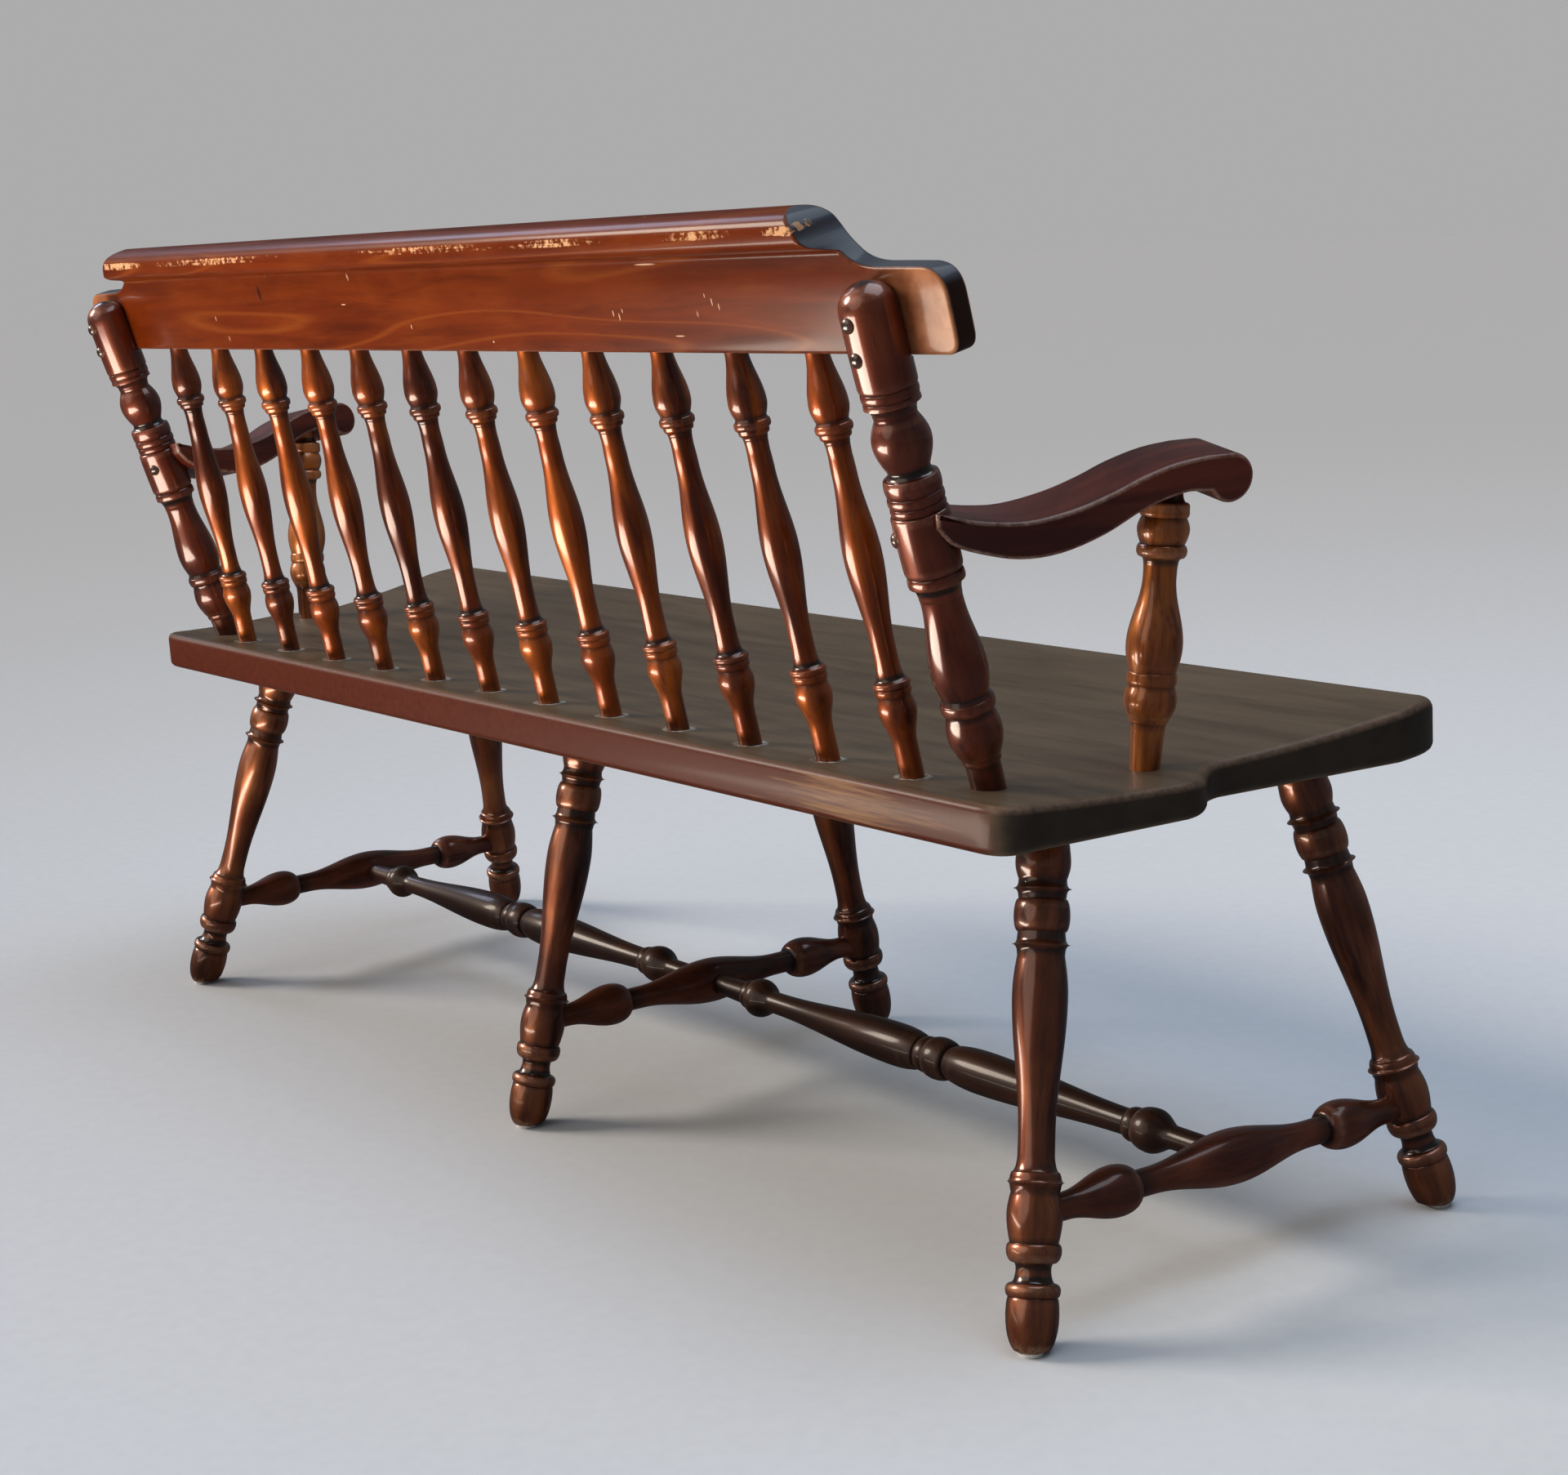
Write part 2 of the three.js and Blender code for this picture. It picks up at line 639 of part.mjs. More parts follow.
function addSeat() {
  const planSettings = { depth: seatHeight + seatFrontRise + overrun, bevelEnabled: false };
  const planSolid = solidOf(new THREE.ExtrudeGeometry(seatPlan(), planSettings));
  const width = 2 * (seatHalfLength + overrun);
  const alongX = new THREE.Matrix4().makeBasis(backwards, upwards, alongBench);
  alongX.setPosition(-width / 2, 0, 0);
  const settings = { depth: width, bevelEnabled: false, curveSegments: 2 };
  const sectionGeometry = new THREE.ExtrudeGeometry(seatSection(), settings);
  const plank = geometryOf(solidOf(sectionGeometry.applyMatrix4(alongX)).intersect(planSolid));
  const socket = (from, towards, radius, depth, facets) =>
    bore(from, towards, radius + clearance, -depth - clearance, overrun, facets);
  const sockets = [
    ...legs.map((leg) => socket(leg.top, leg.foot, legTenonRadius, deepTenon, legSides)),
    ...spindles.map((s) => socket(s.base, s.top, spindleSeatTenonRadius, shallowTenon, spindleSides)),
    ...posts.map((p) => socket(p.base, postRise(p, postLength), postTenonRadius, deepTenon, postSides)),
    ...armPosts.map((p) => socket(p.base, p.top, armPostSeatTenonRadius, shallowTenon, postSides)),
  ];
  addPiece("seat_plank", plank, seatWood, still, sockets);
}

// Legs and glides
function addLegs() {
  const floorCut = glideThickness + clearance;
  for (const leg of legs) {
    const profile = turnedProfile(legTurningShares, leg.length, legRadius);
    const upper = { radius: legTenonRadius, depth: leg.length + deepTenon - profile[profile.length - 1].y };
    const shape = turnedWithTenons(profile, legSides, null, upper);
    const below = new THREE.BoxGeometry(4 * legRadius, 4 * legRadius, overrun + floorCut);
    below.translate(leg.foot.x, leg.foot.y, (floorCut - overrun) / 2);
    const cross = crosses.find((c) => c.name === leg.side);
    const other = leg.row === "rear" ? cross.front : cross.rear;
    const nail = vector(leg.foot.x, leg.foot.y, 0);
    const nailTop = glideThickness + glideNailLength + clearance;
    const socketRadius = crossTenonRadius + clearance;
    const socketStart = stretcherEndGap - clearance;
    addPiece(`leg_${leg.name}`, shape, turnedWood, axisFrame(leg.foot, leg.top), [
      below,
      bore(leg.joint, other, socketRadius, socketStart, legRadius + overrun, stretcherSides),
      bore(nail, nail.clone().add(upwards), glideNailRadius + clearance, 0, nailTop, smallSides),
    ]);
    const glide = [
      [glideRadius - glideEdge, 0],
      [glideRadius, glideEdge],
      [glideRadius, glideThickness],
      [glideNailRadius, glideThickness],
      [glideNailRadius, glideThickness + glideNailLength],
    ].map(([r, h]) => new THREE.Vector2(r, h));
    const glideFrame = new THREE.Matrix4().setPosition(leg.foot);
    addPiece(`glide_${leg.name}`, turned(glide, smallSides), glidePlastic, glideFrame);
  }
}

// Stretchers: each ends short of the axis of what holds it
function stretcherShape(shares, length, radius, tenonRadius, holderRadius) {
  const tenonEnd = holderRadius + clearance;
  const between = (p) => p.y > tenonEnd && p.y < length - tenonEnd;
  const points = turnedProfile(shares, length, radius).filter(between);
  const tenon = [stretcherEndGap, tenonEnd, length - tenonEnd, length - stretcherEndGap];
  const [start, shoulder, farShoulder, end] = tenon.map((h) => new THREE.Vector2(tenonRadius, h));
  return turned([start, shoulder, ...points, farShoulder, end], stretcherSides);
}

function addStretchers() {
  const socketStart = stretcherEndGap - clearance;
  const socketRadius = medialTenonRadius + clearance;
  for (const cross of crosses) {
    const sockets = medials
      .flatMap((medial) => [[medial.from, medial.to], [medial.to, medial.from]])
      .filter(([from]) => from.equals(cross.middle))
      .map(([from, to]) => bore(from, to, socketRadius, socketStart, crossRadius + overrun, stretcherSides));
    const shape = stretcherShape(crossTurningShares, cross.length, crossRadius, crossTenonRadius, legRadius);
    addPiece(`stretcher_cross_${cross.name}`, shape, turnedWood, axisFrame(cross.rear, cross.front), sockets);
  }
  for (const medial of medials) {
    const { name, from, to, length } = medial;
    const shape = stretcherShape(medialTurningShares, length, medialRadius, medialTenonRadius, crossRadius);
    addPiece(`stretcher_medial_${name}`, shape, turnedWood, axisFrame(from, to));
  }
}

// Spindles
const crestTenonRadius = crestThickness / 2 - spindleCrestTenonWall;

function addSpindles() {
  for (const spindle of spindles) {
    const length = spindle.base.distanceTo(spindle.top);
    const slant = Math.acos(spindle.top.clone().sub(spindle.base).normalize().dot(crestUp));
    const shoulderGap = clearance + spindleRadius * Math.tan(slant);
    const profile = turnedProfile(spindleTurningShares, length - shoulderGap, spindleRadius);
    const lower = { radius: spindleSeatTenonRadius, depth: shallowTenon };
    const upper = { radius: crestTenonRadius, depth: spindleCrestTenonDepth };
    const shape = turnedWithTenons(profile, spindleSides, lower, upper);
    addPiece(spindle.name, shape, turnedWood, axisFrame(spindle.base, spindle.top));
  }
}

// Crest rail
function crestSection() {
  const section = new THREE.Shape(); // x out of the back face, y up the board
  section.moveTo(0, 0);
  section.lineTo(0, rollUnderside);
  section.quadraticCurveTo(rollOverhang, rollUnderside, rollOverhang, rollLipLow);
  section.lineTo(rollOverhang, rollLipHigh);
  const frontStart = crestHeight - rollFrontDrop;
  const pull = 2 * crestHeight - rollLipHigh;
  section.bezierCurveTo(rollOverhang, crestHeight, -crestThickness, pull, -crestThickness, frontStart);
  section.lineTo(-crestThickness, 0);
  section.closePath();
  return section;
}

function crestOutline() {
  const half = new THREE.Shape();
  const lower = crestEarLowerCorner;
  const upper = crestEarUpperCorner;
  const shoulder = crestRollShoulder;
  const scroll = crestHalf - crestScrollInset;
  const rollEnd = crestHalf - crestRollInset;
  half.moveTo(0, 0);
  half.lineTo(crestHalf - lower, 0);
  half.quadraticCurveTo(crestHalf, 0, crestHalf, lower);
  half.lineTo(crestHalf, crestEarHeight - upper);
  half.quadraticCurveTo(crestHalf, crestEarHeight, crestHalf - upper, crestEarHeight);
  half.lineTo(crestHalf - crestEarFlat, crestEarHeight);
  half.quadraticCurveTo(scroll + shoulder / 2, crestEarHeight, scroll, rollUnderside);
  half.quadraticCurveTo(rollEnd + shoulder / 3, crestHeight - shoulder, rollEnd, crestHeight - shoulder / 2);
  half.quadraticCurveTo(rollEnd - shoulder / 3, crestHeight, rollEnd - shoulder, crestHeight);
  half.lineTo(rollEnd - shoulder, crestHeight + overrun);
  half.lineTo(0, crestHeight + overrun);
  const right = half.getPoints(curveSteps).filter((p) => p.x > 0);
  const left = right.map((p) => new THREE.Vector2(-p.x, p.y)).reverse();
  return new THREE.Shape([...right, ...left]);
}

const crestWidth = 2 * (crestHalf + overrun);
function crestBoard() {
  const sectionFrame = new THREE.Matrix4().makeBasis(crestOut, crestUp, alongBench);
  sectionFrame.setPosition(crestOrigin.clone().setX(-crestWidth / 2));
  const settings = { depth: crestWidth, bevelEnabled: false, curveSegments: curveSteps };
  const section = new THREE.ExtrudeGeometry(crestSection(), settings);
  const outlineFrame = new THREE.Matrix4().makeBasis(alongBench, crestUp, crestOut.clone().negate());
  outlineFrame.setPosition(crestOrigin.clone().addScaledVector(crestOut, rollOverhang + overrun));
  const depth = rollOverhang + crestThickness + 2 * overrun;
  const outline = new THREE.ExtrudeGeometry(crestOutline(), { depth, bevelEnabled: false });
  return solidOf(section.applyMatrix4(sectionFrame)).intersect(solidOf(outline.applyMatrix4(outlineFrame)));
}

function addCrest() {
  const sockets = spindles.map((s) => {
    const depth = spindleCrestTenonDepth + clearance;
    return bore(s.top, s.base, crestTenonRadius + clearance, -depth, overrun, spindleSides);
  });
  const pilots = screws
    .filter((screw) => screw.holds === "crest")
    .map((screw) => screwBore(screw, screwShankRadius + clearance, -screwReach(screw) - clearance, 0));
  addPiece("crest_rail", geometryOf(crestBoard()), railWood, still, [...sockets, ...pilots]);
}

// Back posts, with a flat for the crest, and their screws and buttons
function addPosts() {
  const flatHeight = 2 * crestHeight;
  const flat = new THREE.BoxGeometry(crestWidth, crestThickness + overrun, flatHeight + clearance);
  flat.translate(0, -(crestThickness + overrun) / 2 + clearance, (flatHeight - clearance) / 2);
  flat.applyMatrix4(new THREE.Matrix4().makeBasis(alongBench, crestOut, crestUp).setPosition(crestOrigin));
  for (const post of posts) {
    const profile = turnedProfile(postTurningShares, postLength, postRadius);
    const shape = turnedWithTenons(profile, postSides, { radius: postTenonRadius, depth: deepTenon }, null);
    const bores = screws
      .filter((screw) => screw.post === post)
      .flatMap((screw) => [
        screwBore(screw, screwShankRadius + clearance, -postRadius - overrun, screwSeat),
        screwBore(screw, buttonRadius + clearance, screwSeat - clearance, postRadius + overrun),
      ]);
    const frame = axisFrame(post.base, postRise(post, postLength));
    addPiece(`back_post_${post.name}`, shape, turnedWood, frame, [flat, ...bores]);
  }
}

function addScrews() {
  for (const screw of screws) {
    const frame = axisFrame(screw.at, screw.at.clone().add(screw.way));
    const headTop = screwSeat + screwHeadHeight;
    const screwProfile = [
      [screwShankRadius / 2, -screwReach(screw)],
      [screwShankRadius, -screwReach(screw) + 2 * screwShankRadius],
      [screwShankRadius, screwSeat],
      [screwHeadRadius, screwSeat],
      [screwHeadRadius, headTop],
    ].map(([r, h]) => new THREE.Vector2(r, h));
    addPiece(`screw_${screw.name}`, turned(screwProfile, smallSides), steel, frame);
    const rim = postRadius - clearance;
    const crown = postRadius + buttonStand;
    const dome = Array.from({ length: domeSteps }, (_, i) => (i / domeSteps) * (Math.PI / 2));
    const buttonProfile = [
      [buttonRadius, headTop + clearance],
      ...dome.map((turn) => [buttonRadius * Math.cos(turn), rim + (crown - rim) * Math.sin(turn)]),
      [0, crown],
    ].map(([r, h]) => new THREE.Vector2(r, h));
    addPiece(`button_${screw.name}`, turned(buttonProfile, smallSides), buttonWood, frame);
  }
}

// Arms: the outline of the side, coped to the post, with the knuckle rolled over the front
function armOutline() {
  const outline = new THREE.Shape();
  const onArm = ([s, h]) => new THREE.Vector2(s * armLength, h * armLength);
  const top = armTopShares.map(onArm);
  const knuckle = new THREE.Vector2(armLength - knuckleRadius, top[top.length - 1].y - knuckleRadius);
  const under = armUnderShares.map(onArm);
  outline.moveTo(top[0].x, top[0].y);
  outline.splineThru(top.slice(1));
  outline.lineTo(knuckle.x, knuckle.y + knuckleRadius);
  outline.absarc(knuckle.x, knuckle.y, knuckleRadius, Math.PI / 2, Math.PI / 2 - knuckleWrap, true);
  outline.lineTo(under[0].x, under[0].y);
  outline.splineThru(under.slice(1));
  outline.closePath();
  return outline;
}

function addArms() {
  for (const arm of arms) {
    const across = arm.forward.clone().cross(arm.up);
    const frame = new THREE.Matrix4().makeBasis(arm.forward, arm.up, across);
    frame.setPosition(arm.origin.clone().addScaledVector(across, -armWidth / 2));
    const settings = { depth: armWidth, bevelEnabled: false, curveSegments: 2 };
    const shape = new THREE.ExtrudeGeometry(armOutline(), settings);
    const screw = screws.find((s) => s.post === arm.post && s.holds === "arm");
    const armPost = armPosts.find((p) => p.name === arm.name);
    const tenonEnd = armPostArmTenonDepth;
    const socketRadius = armPostArmTenonRadius + clearance;
    const { base, direction } = arm.post;
    const copeRadius = postRadius + clearance;
    const cope = bore(base, base.clone().add(direction), copeRadius, overrun, postLength, 2 * postSides);
    addPiece(`arm_${arm.name}`, shape, armWood, frame, [
      cope,
      bore(armPost.top, armPost.base, socketRadius, -tenonEnd - clearance, overrun, postSides),
      screwBore(screw, screwShankRadius + clearance, -screwReach(screw) - clearance, 0),
    ]);
    const turnedLength = armPost.length - armPostRadius * Math.sin(armTilt);
    const profile = turnedProfile(armPostTurningShares, turnedLength, armPostRadius);
    const lower = { radius: armPostSeatTenonRadius, depth: shallowTenon };
    const shoulder = profile[profile.length - 1].y;
    const upper = { radius: armPostArmTenonRadius, depth: armPost.length + tenonEnd - shoulder };
    const shapeOfPost = turnedWithTenons(profile, postSides, lower, upper);
    addPiece(`arm_post_${arm.name}`, shapeOfPost, turnedWood, axisFrame(armPost.base, armPost.top));
  }
}

addSeat();
addLegs();
addStretchers();
addSpindles();
addPosts();
addCrest();
addArms();
addScrews();

// The origin goes to the middle of the box, on the floor.
bench.updateMatrixWorld(true);
const box = new THREE.Box3().setFromObject(bench, true);
const middle = box.getCenter(new THREE.Vector3());
bench.position.set(-middle.x, -middle.y, -box.min.z);

export default bench;
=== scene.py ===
"""A deacon's bench of stained, lacquered maple, dressed in full detail over its CAD frame."""

import random
from math import cos, exp, pi, radians, sin

import bpy
from mathutils import Matrix, Vector


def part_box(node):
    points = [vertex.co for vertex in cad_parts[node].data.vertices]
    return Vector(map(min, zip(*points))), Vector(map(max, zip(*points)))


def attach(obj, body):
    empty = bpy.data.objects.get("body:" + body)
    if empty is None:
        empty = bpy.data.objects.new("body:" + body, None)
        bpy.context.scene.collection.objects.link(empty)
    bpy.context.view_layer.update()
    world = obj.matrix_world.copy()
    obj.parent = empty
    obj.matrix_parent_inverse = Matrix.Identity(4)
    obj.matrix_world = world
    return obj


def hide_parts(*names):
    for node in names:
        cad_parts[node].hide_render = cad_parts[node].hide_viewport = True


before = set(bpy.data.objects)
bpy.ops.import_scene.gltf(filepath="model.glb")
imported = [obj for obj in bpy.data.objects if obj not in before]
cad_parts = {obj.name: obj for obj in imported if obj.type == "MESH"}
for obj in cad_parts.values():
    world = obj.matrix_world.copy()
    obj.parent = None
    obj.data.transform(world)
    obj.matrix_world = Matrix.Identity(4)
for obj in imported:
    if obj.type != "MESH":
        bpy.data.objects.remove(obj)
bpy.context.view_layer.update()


def box_centre(node):
    """The middle of a CAD node's box, in the bench's frame."""
    low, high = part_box(node)
    return (low + high) / 2


# Lengths are in metres. Depths count from the middle line of the feet, which the rear middle glide gives.
UP = Vector((0, 0, 1))
MIDDLE_FOOT_Y = 0.2235
FEET_LINE = box_centre("glide_rear_middle").y - MIDDLE_FOOT_Y

# Seat
SEAT_HEIGHT = 0.43
SEAT_THICKNESS = 0.0363
SEAT_BACK = 0.232
SEAT_FRONT = -0.222
SEAT_UNDER_SLOPE = -0.03
SEAT_REAR_HALF = 0.74
SEAT_SHOULDER_HALF = 0.771
SEAT_WAIST_HALF = 0.743
SEAT_FRONT_HALF = 0.788
SEAT_REAR_CORNER = 0.034
SEAT_FRONT_CORNER = 0.03
SEAT_SHOULDER_Y = 0.066
SEAT_WAIST_Y = 0.004
SEAT_EDGE_ROUND = 0.007
SEAT_NOSE_ROUND = 0.015
SPINDLE_ROW = 0.1914

# Legs and stretchers
LEG_RADIUS = 0.022
REAR_LEAN = Vector((-0.207, -0.284, 1))
FRONT_LEAN = Vector((-0.225, 0.18, 1))
CROSS_RISE_REAR = 0.106
CROSS_RISE_FRONT = 0.094
CROSS_RADIUS = 0.0227
MEDIAL_RADIUS = 0.0206
GLIDE_THICKNESS = 0.0035
GLIDE_PROFILE = [(0.0086, 0), (0.0092, 0.0003), (0.0095, 0.0009), (0.0095, 0.003), (0.0091, 0.0036)]
FOOT_CLEARANCE = 0.0003  # between a glide's thickness and the foot over it
STRETCHER_START = 0.6  # as a share of the radius of the piece that holds it

# Back
SPINDLES = 12
SPINDLE_BASE_SPAN = 0.5886
SPINDLE_TOP_SPAN = 0.5693
SPINDLE_RADIUS = 0.0156
POST_BASE = Vector((0.6648, 0.1789))
POST_LEAN = Vector((0.0255, 0.2748, 1))
POST_LENGTH = 0.407
POST_RADIUS = 0.0227
POST_TIP = 0.04  # the share of the radius left at the top
CREST_LOWER = 0.3367
CREST_BACK = 0.2584
CREST_RAKE = radians(12.4)
CREST_THICKNESS = 0.0205
CREST_HEIGHT = 0.114
CREST_EDGE = 0.003

# Arms
ARM_HEIGHT = 0.21
ARM_SPLAY = radians(14)
ARM_TILT = radians(8.5)
ARM_WIDTH = 0.062
ARM_INSET = 0.004
ARM_LENGTH = 0.271
ARM_EDGE = 0.0035
KNUCKLE_RADIUS = 0.0195
KNUCKLE_TURN = pi * 1.35
ARM_POST_BASE = Vector((0.707, 0.0524))
ARM_POST_AT = 0.212
ARM_POST_RADIUS = 0.022

# Buttons over the screws
BUTTON_RADIUS = 0.0062
BUTTON_STAND = 0.0036
CREST_BUTTONS = {"lower": 0.354, "upper": 0.38}
ARM_BUTTON = 0.2125
ARM_BUTTON_TURN = radians(34)
BUTTON_SUNK = 0.0006  # the dome starts this far inside the post's radius
BUTTON_ROOT = 0.002
BUTTON_TIP = 0.05  # the share of the radius left at the top

# Fineness
TURNED_SIDES = 48
CURVE_STEPS = 8
SHORT_LINE = 0.02  # no points inside a shorter one
LONG_EASE = 0.04  # three times the points in a longer one
SEAT_EDGE_STEPS = 60  # over half the seat's rear or front edge
SEAT_ROUND_STEPS = 6
ROUND_STEPS = 5  # over the rounded edges of the crest and the arms
CREST_END_STEPS = 10
ARM_STEPS = 4
KNUCKLE_STEPS = 28
SHARP_ANGLE = radians(40)
SINK = 0.004  # how far a turned piece runs into what holds it

# Wear, grime and painted shade, bare wood and tone, each from 0 to 1
WEAR_REACH = 0.006  # the neighbours of a point of a turning
FULL_WEAR = 0.0022  # how far out a fully worn point stands
FULL_GRIME_AND_SHADE = 0.0018  # how deep a fully darkened one lies, by grime and painted shade
FOOT_BARE = 0.75
FOOT_BARE_HEIGHT = 0.02
SEAT_END_WEAR = 0.8
SEAT_LONG_WEAR = 0.2
SEAT_END_FACING = 0.3
SEAT_END_GRIME_AND_SHADE = 0.95
NEAR_CORNER_BARE = 0.7
NEAR_CORNER_X = -0.56
NEAR_CORNER_REACH = 0.15
CREST_WEAR = 0.7
CREST_FOOT_GRIME_AND_SHADE = 0.2
ARM_WEAR = 0.8
SEAT_TONE = 0.4
CREST_TONE = 0.7

# Turnings: height as a share of the length, radius as a share of the piece's radius, and the way there.
# A crown is a convex quarter ellipse, a swell a quarter of a sine, a hollow a concave quarter ellipse,
# and an ease an S.
LINE, CROWN, SWELL, HOLLOW, EASE = "line", "crown", "swell", "hollow", "ease"
LEG_TURNING = [
    (0, 0.43, LINE), (0.07, 0.95, CROWN), (0.103, 0.87, CROWN), (0.116, 0.985, CROWN),
    (0.128, 0.8, CROWN), (0.154, 0.63, HOLLOW), (0.165, 0.73, HOLLOW), (0.188, 0.99, CROWN),
    (0.201, 0.87, CROWN), (0.251, 1, SWELL), (0.293, 0.87, SWELL), (0.302, 0.91, LINE),
    (0.312, 1.03, HOLLOW), (0.323, 0.91, HOLLOW), (0.33, 0.86, LINE), (0.366, 0.665, HOLLOW),
    (0.396, 0.66, LINE), (0.657, 1, EASE), (0.731, 0.855, SWELL), (0.738, 0.87, LINE),
    (0.751, 1.05, HOLLOW), (0.764, 0.875, HOLLOW), (0.775, 0.855, LINE), (0.805, 1.015, CROWN),
    (0.837, 0.855, CROWN), (0.843, 0.87, LINE), (0.856, 1.05, HOLLOW), (0.869, 0.875, HOLLOW),
    (0.874, 0.87, LINE), (0.905, 1, SWELL), (0.93, 0.96, SWELL), (0.985, 0.63, EASE),
    (1, 0.61, LINE),
]
POST_TURNING = [
    (0, 0.61, LINE), (0.056, 0.62, LINE), (0.064, 0.695, CROWN), (0.069, 0.69, LINE),
    (0.072, 0.735, LINE), (0.12, 0.965, SWELL), (0.16, 0.845, SWELL), (0.164, 0.84, LINE),
    (0.177, 0.955, CROWN), (0.189, 0.9, CROWN), (0.198, 0.825, LINE), (0.249, 0.99, SWELL),
    (0.388, 0.72, EASE), (0.398, 0.735, HOLLOW), (0.426, 0.96, HOLLOW), (0.433, 0.98, CROWN),
    (0.447, 0.9, CROWN), (0.459, 1, CROWN), (0.51, 1.012, SWELL), (0.56, 1, SWELL),
    (0.567, 0.9, CROWN), (0.575, 0.95, CROWN), (0.583, 0.905, CROWN), (0.592, 0.965, CROWN),
    (0.603, 0.91, CROWN), (0.62, 0.97, CROWN), (0.636, 0.91, CROWN), (0.65, 0.72, HOLLOW),
    (0.703, 1, SWELL), (0.748, 0.73, SWELL), (0.754, 0.74, HOLLOW), (0.773, 0.97, HOLLOW),
    (0.784, 0.93, CROWN), (0.794, 0.98, CROWN), (0.803, 0.93, CROWN), (0.811, 1, CROWN),
    (0.88, 1.01, SWELL), (0.952, 0.99, SWELL), (1, 0, CROWN),
]
SPINDLE_TURNING = [
    (0, 0.64, LINE), (0.086, 0.645, LINE), (0.165, 1, EASE), (0.198, 0.85, SWELL),
    (0.211, 0.955, CROWN), (0.218, 0.89, CROWN), (0.226, 0.99, CROWN), (0.234, 0.88, CROWN),
    (0.238, 0.79, LINE), (0.29, 0.62, HOLLOW), (0.317, 0.62, LINE), (0.53, 0.985, EASE),
    (0.717, 0.64, EASE), (0.762, 0.61, SWELL), (0.792, 0.65, HOLLOW), (0.802, 0.73, HOLLOW),
    (0.81, 0.82, CROWN), (0.815, 0.83, LINE), (0.826, 0.975, CROWN), (0.836, 0.88, CROWN),
    (0.842, 0.82, LINE), (0.878, 1.01, SWELL), (1, 0.6, EASE),
]
ARM_POST_TURNING = [
    (0, 0.55, LINE), (0.136, 0.61, LINE), (0.164, 0.65, LINE), (0.171, 0.7, CROWN),
    (0.245, 0.96, SWELL), (0.295, 0.85, SWELL), (0.3, 0.85, LINE), (0.318, 0.905, CROWN),
    (0.336, 0.895, LINE), (0.346, 0.85, CROWN), (0.438, 1.01, SWELL), (0.68, 0.595, EASE),
    (0.725, 0.615, HOLLOW), (0.748, 0.74, HOLLOW), (0.771, 0.9, CROWN), (0.794, 0.785, CROWN),
    (0.847, 0.93, SWELL), (0.889, 0.8, SWELL), (0.905, 0.88, CROWN), (0.929, 0.87, LINE),
    (0.942, 0.75, CROWN), (0.98, 0.6, HOLLOW), (1, 0.565, LINE),
]
CROSS_TURNING = [
    (0, 0.46, LINE), (0.073, 0.49, LINE), (0.198, 0.92, EASE), (0.245, 0.5, CROWN),
    (0.29, 0.5, LINE), (0.5, 1, EASE), (0.71, 0.5, EASE), (0.755, 0.5, LINE),
    (0.802, 0.92, CROWN), (0.927, 0.49, EASE), (1, 0.46, LINE),
]
MEDIAL_TURNING = [
    (0, 0.485, LINE), (0.085, 0.5, LINE), (0.119, 0.95, EASE), (0.14, 0.68, CROWN),
    (0.148, 0.74, CROWN), (0.157, 0.57, CROWN), (0.413, 0.98, EASE), (0.473, 0.66, CROWN),
    (0.495, 0.98, CROWN), (0.511, 0.78, CROWN), (0.519, 0.84, CROWN), (0.529, 0.67, CROWN),
    (0.579, 1, CROWN), (0.842, 0.53, EASE), (0.874, 0.95, EASE), (0.888, 0.69, CROWN),
    (0.895, 0.74, CROWN), (0.903, 0.57, CROWN), (0.95, 0.5, LINE), (1, 0.485, LINE),
]


def quarter(way, grows, share):
    """How far along and how far across one step of a turning is, at a share of its turn."""
    turn = share * pi / 2
    if way == LINE:
        return share, share
    if way == EASE:
        return share, (1 - cos(pi * share)) / 2
    if way == SWELL:
        return (share, sin(turn)) if grows else (share, 1 - cos(turn))
    full = (way == CROWN) == grows
    return (1 - cos(turn), sin(turn)) if full else (sin(turn), 1 - cos(turn))


def turned_profile(rows, length, radius):
    """Points (radius, height) of a turning."""
    height, across, _ = rows[0]
    points = [(across * radius, height * length)]
    for next_height, next_across, way in rows[1:]:
        span = (next_height - height) * length
        steps = 1 if way == LINE and span < SHORT_LINE else CURVE_STEPS
        if way == EASE and span > LONG_EASE:
            steps = 3 * CURVE_STEPS
        for i in range(1, steps + 1):
            along, out = quarter(way, next_across > across, i / steps)
            reached = across + (next_across - across) * out
            points.append((reached * radius, height * length + span * along))
        height, across = next_height, next_across
    return points


def quarter_turns(steps):
    """Angles from 0 to a right angle."""
    return [pi / 2 * i / steps for i in range(steps + 1)]


def axis_frame(start, towards):
    """The frame at start whose Z points towards the other point, with X near the bench's length."""
    z = (towards - start).normalized()
    near = UP if abs(z.x) > max(abs(z.y), abs(z.z)) else Vector((1, 0, 0))
    x = (near - z * near.dot(z)).normalized()
    y = z.cross(x)
    return Matrix.Translation(start) @ Matrix((x, y, z)).transposed().to_4x4()


def wear_along(points):
    """How much each point of a profile stands out (wear) or lies deep (grime and painted shade), from its
    neighbours.
    """
    wear, grime_and_shade = [], []
    for r, h in points:
        near = [q for q, g in points if abs(g - h) < WEAR_REACH]
        mean = sum(near) / len(near)
        wear.append(max(0.0, min(1.0, (r - mean) / FULL_WEAR)))
        grime_and_shade.append(max(0.0, min(1.0, (mean - r) / FULL_GRIME_AND_SHADE)))
    return wear, grime_and_shade


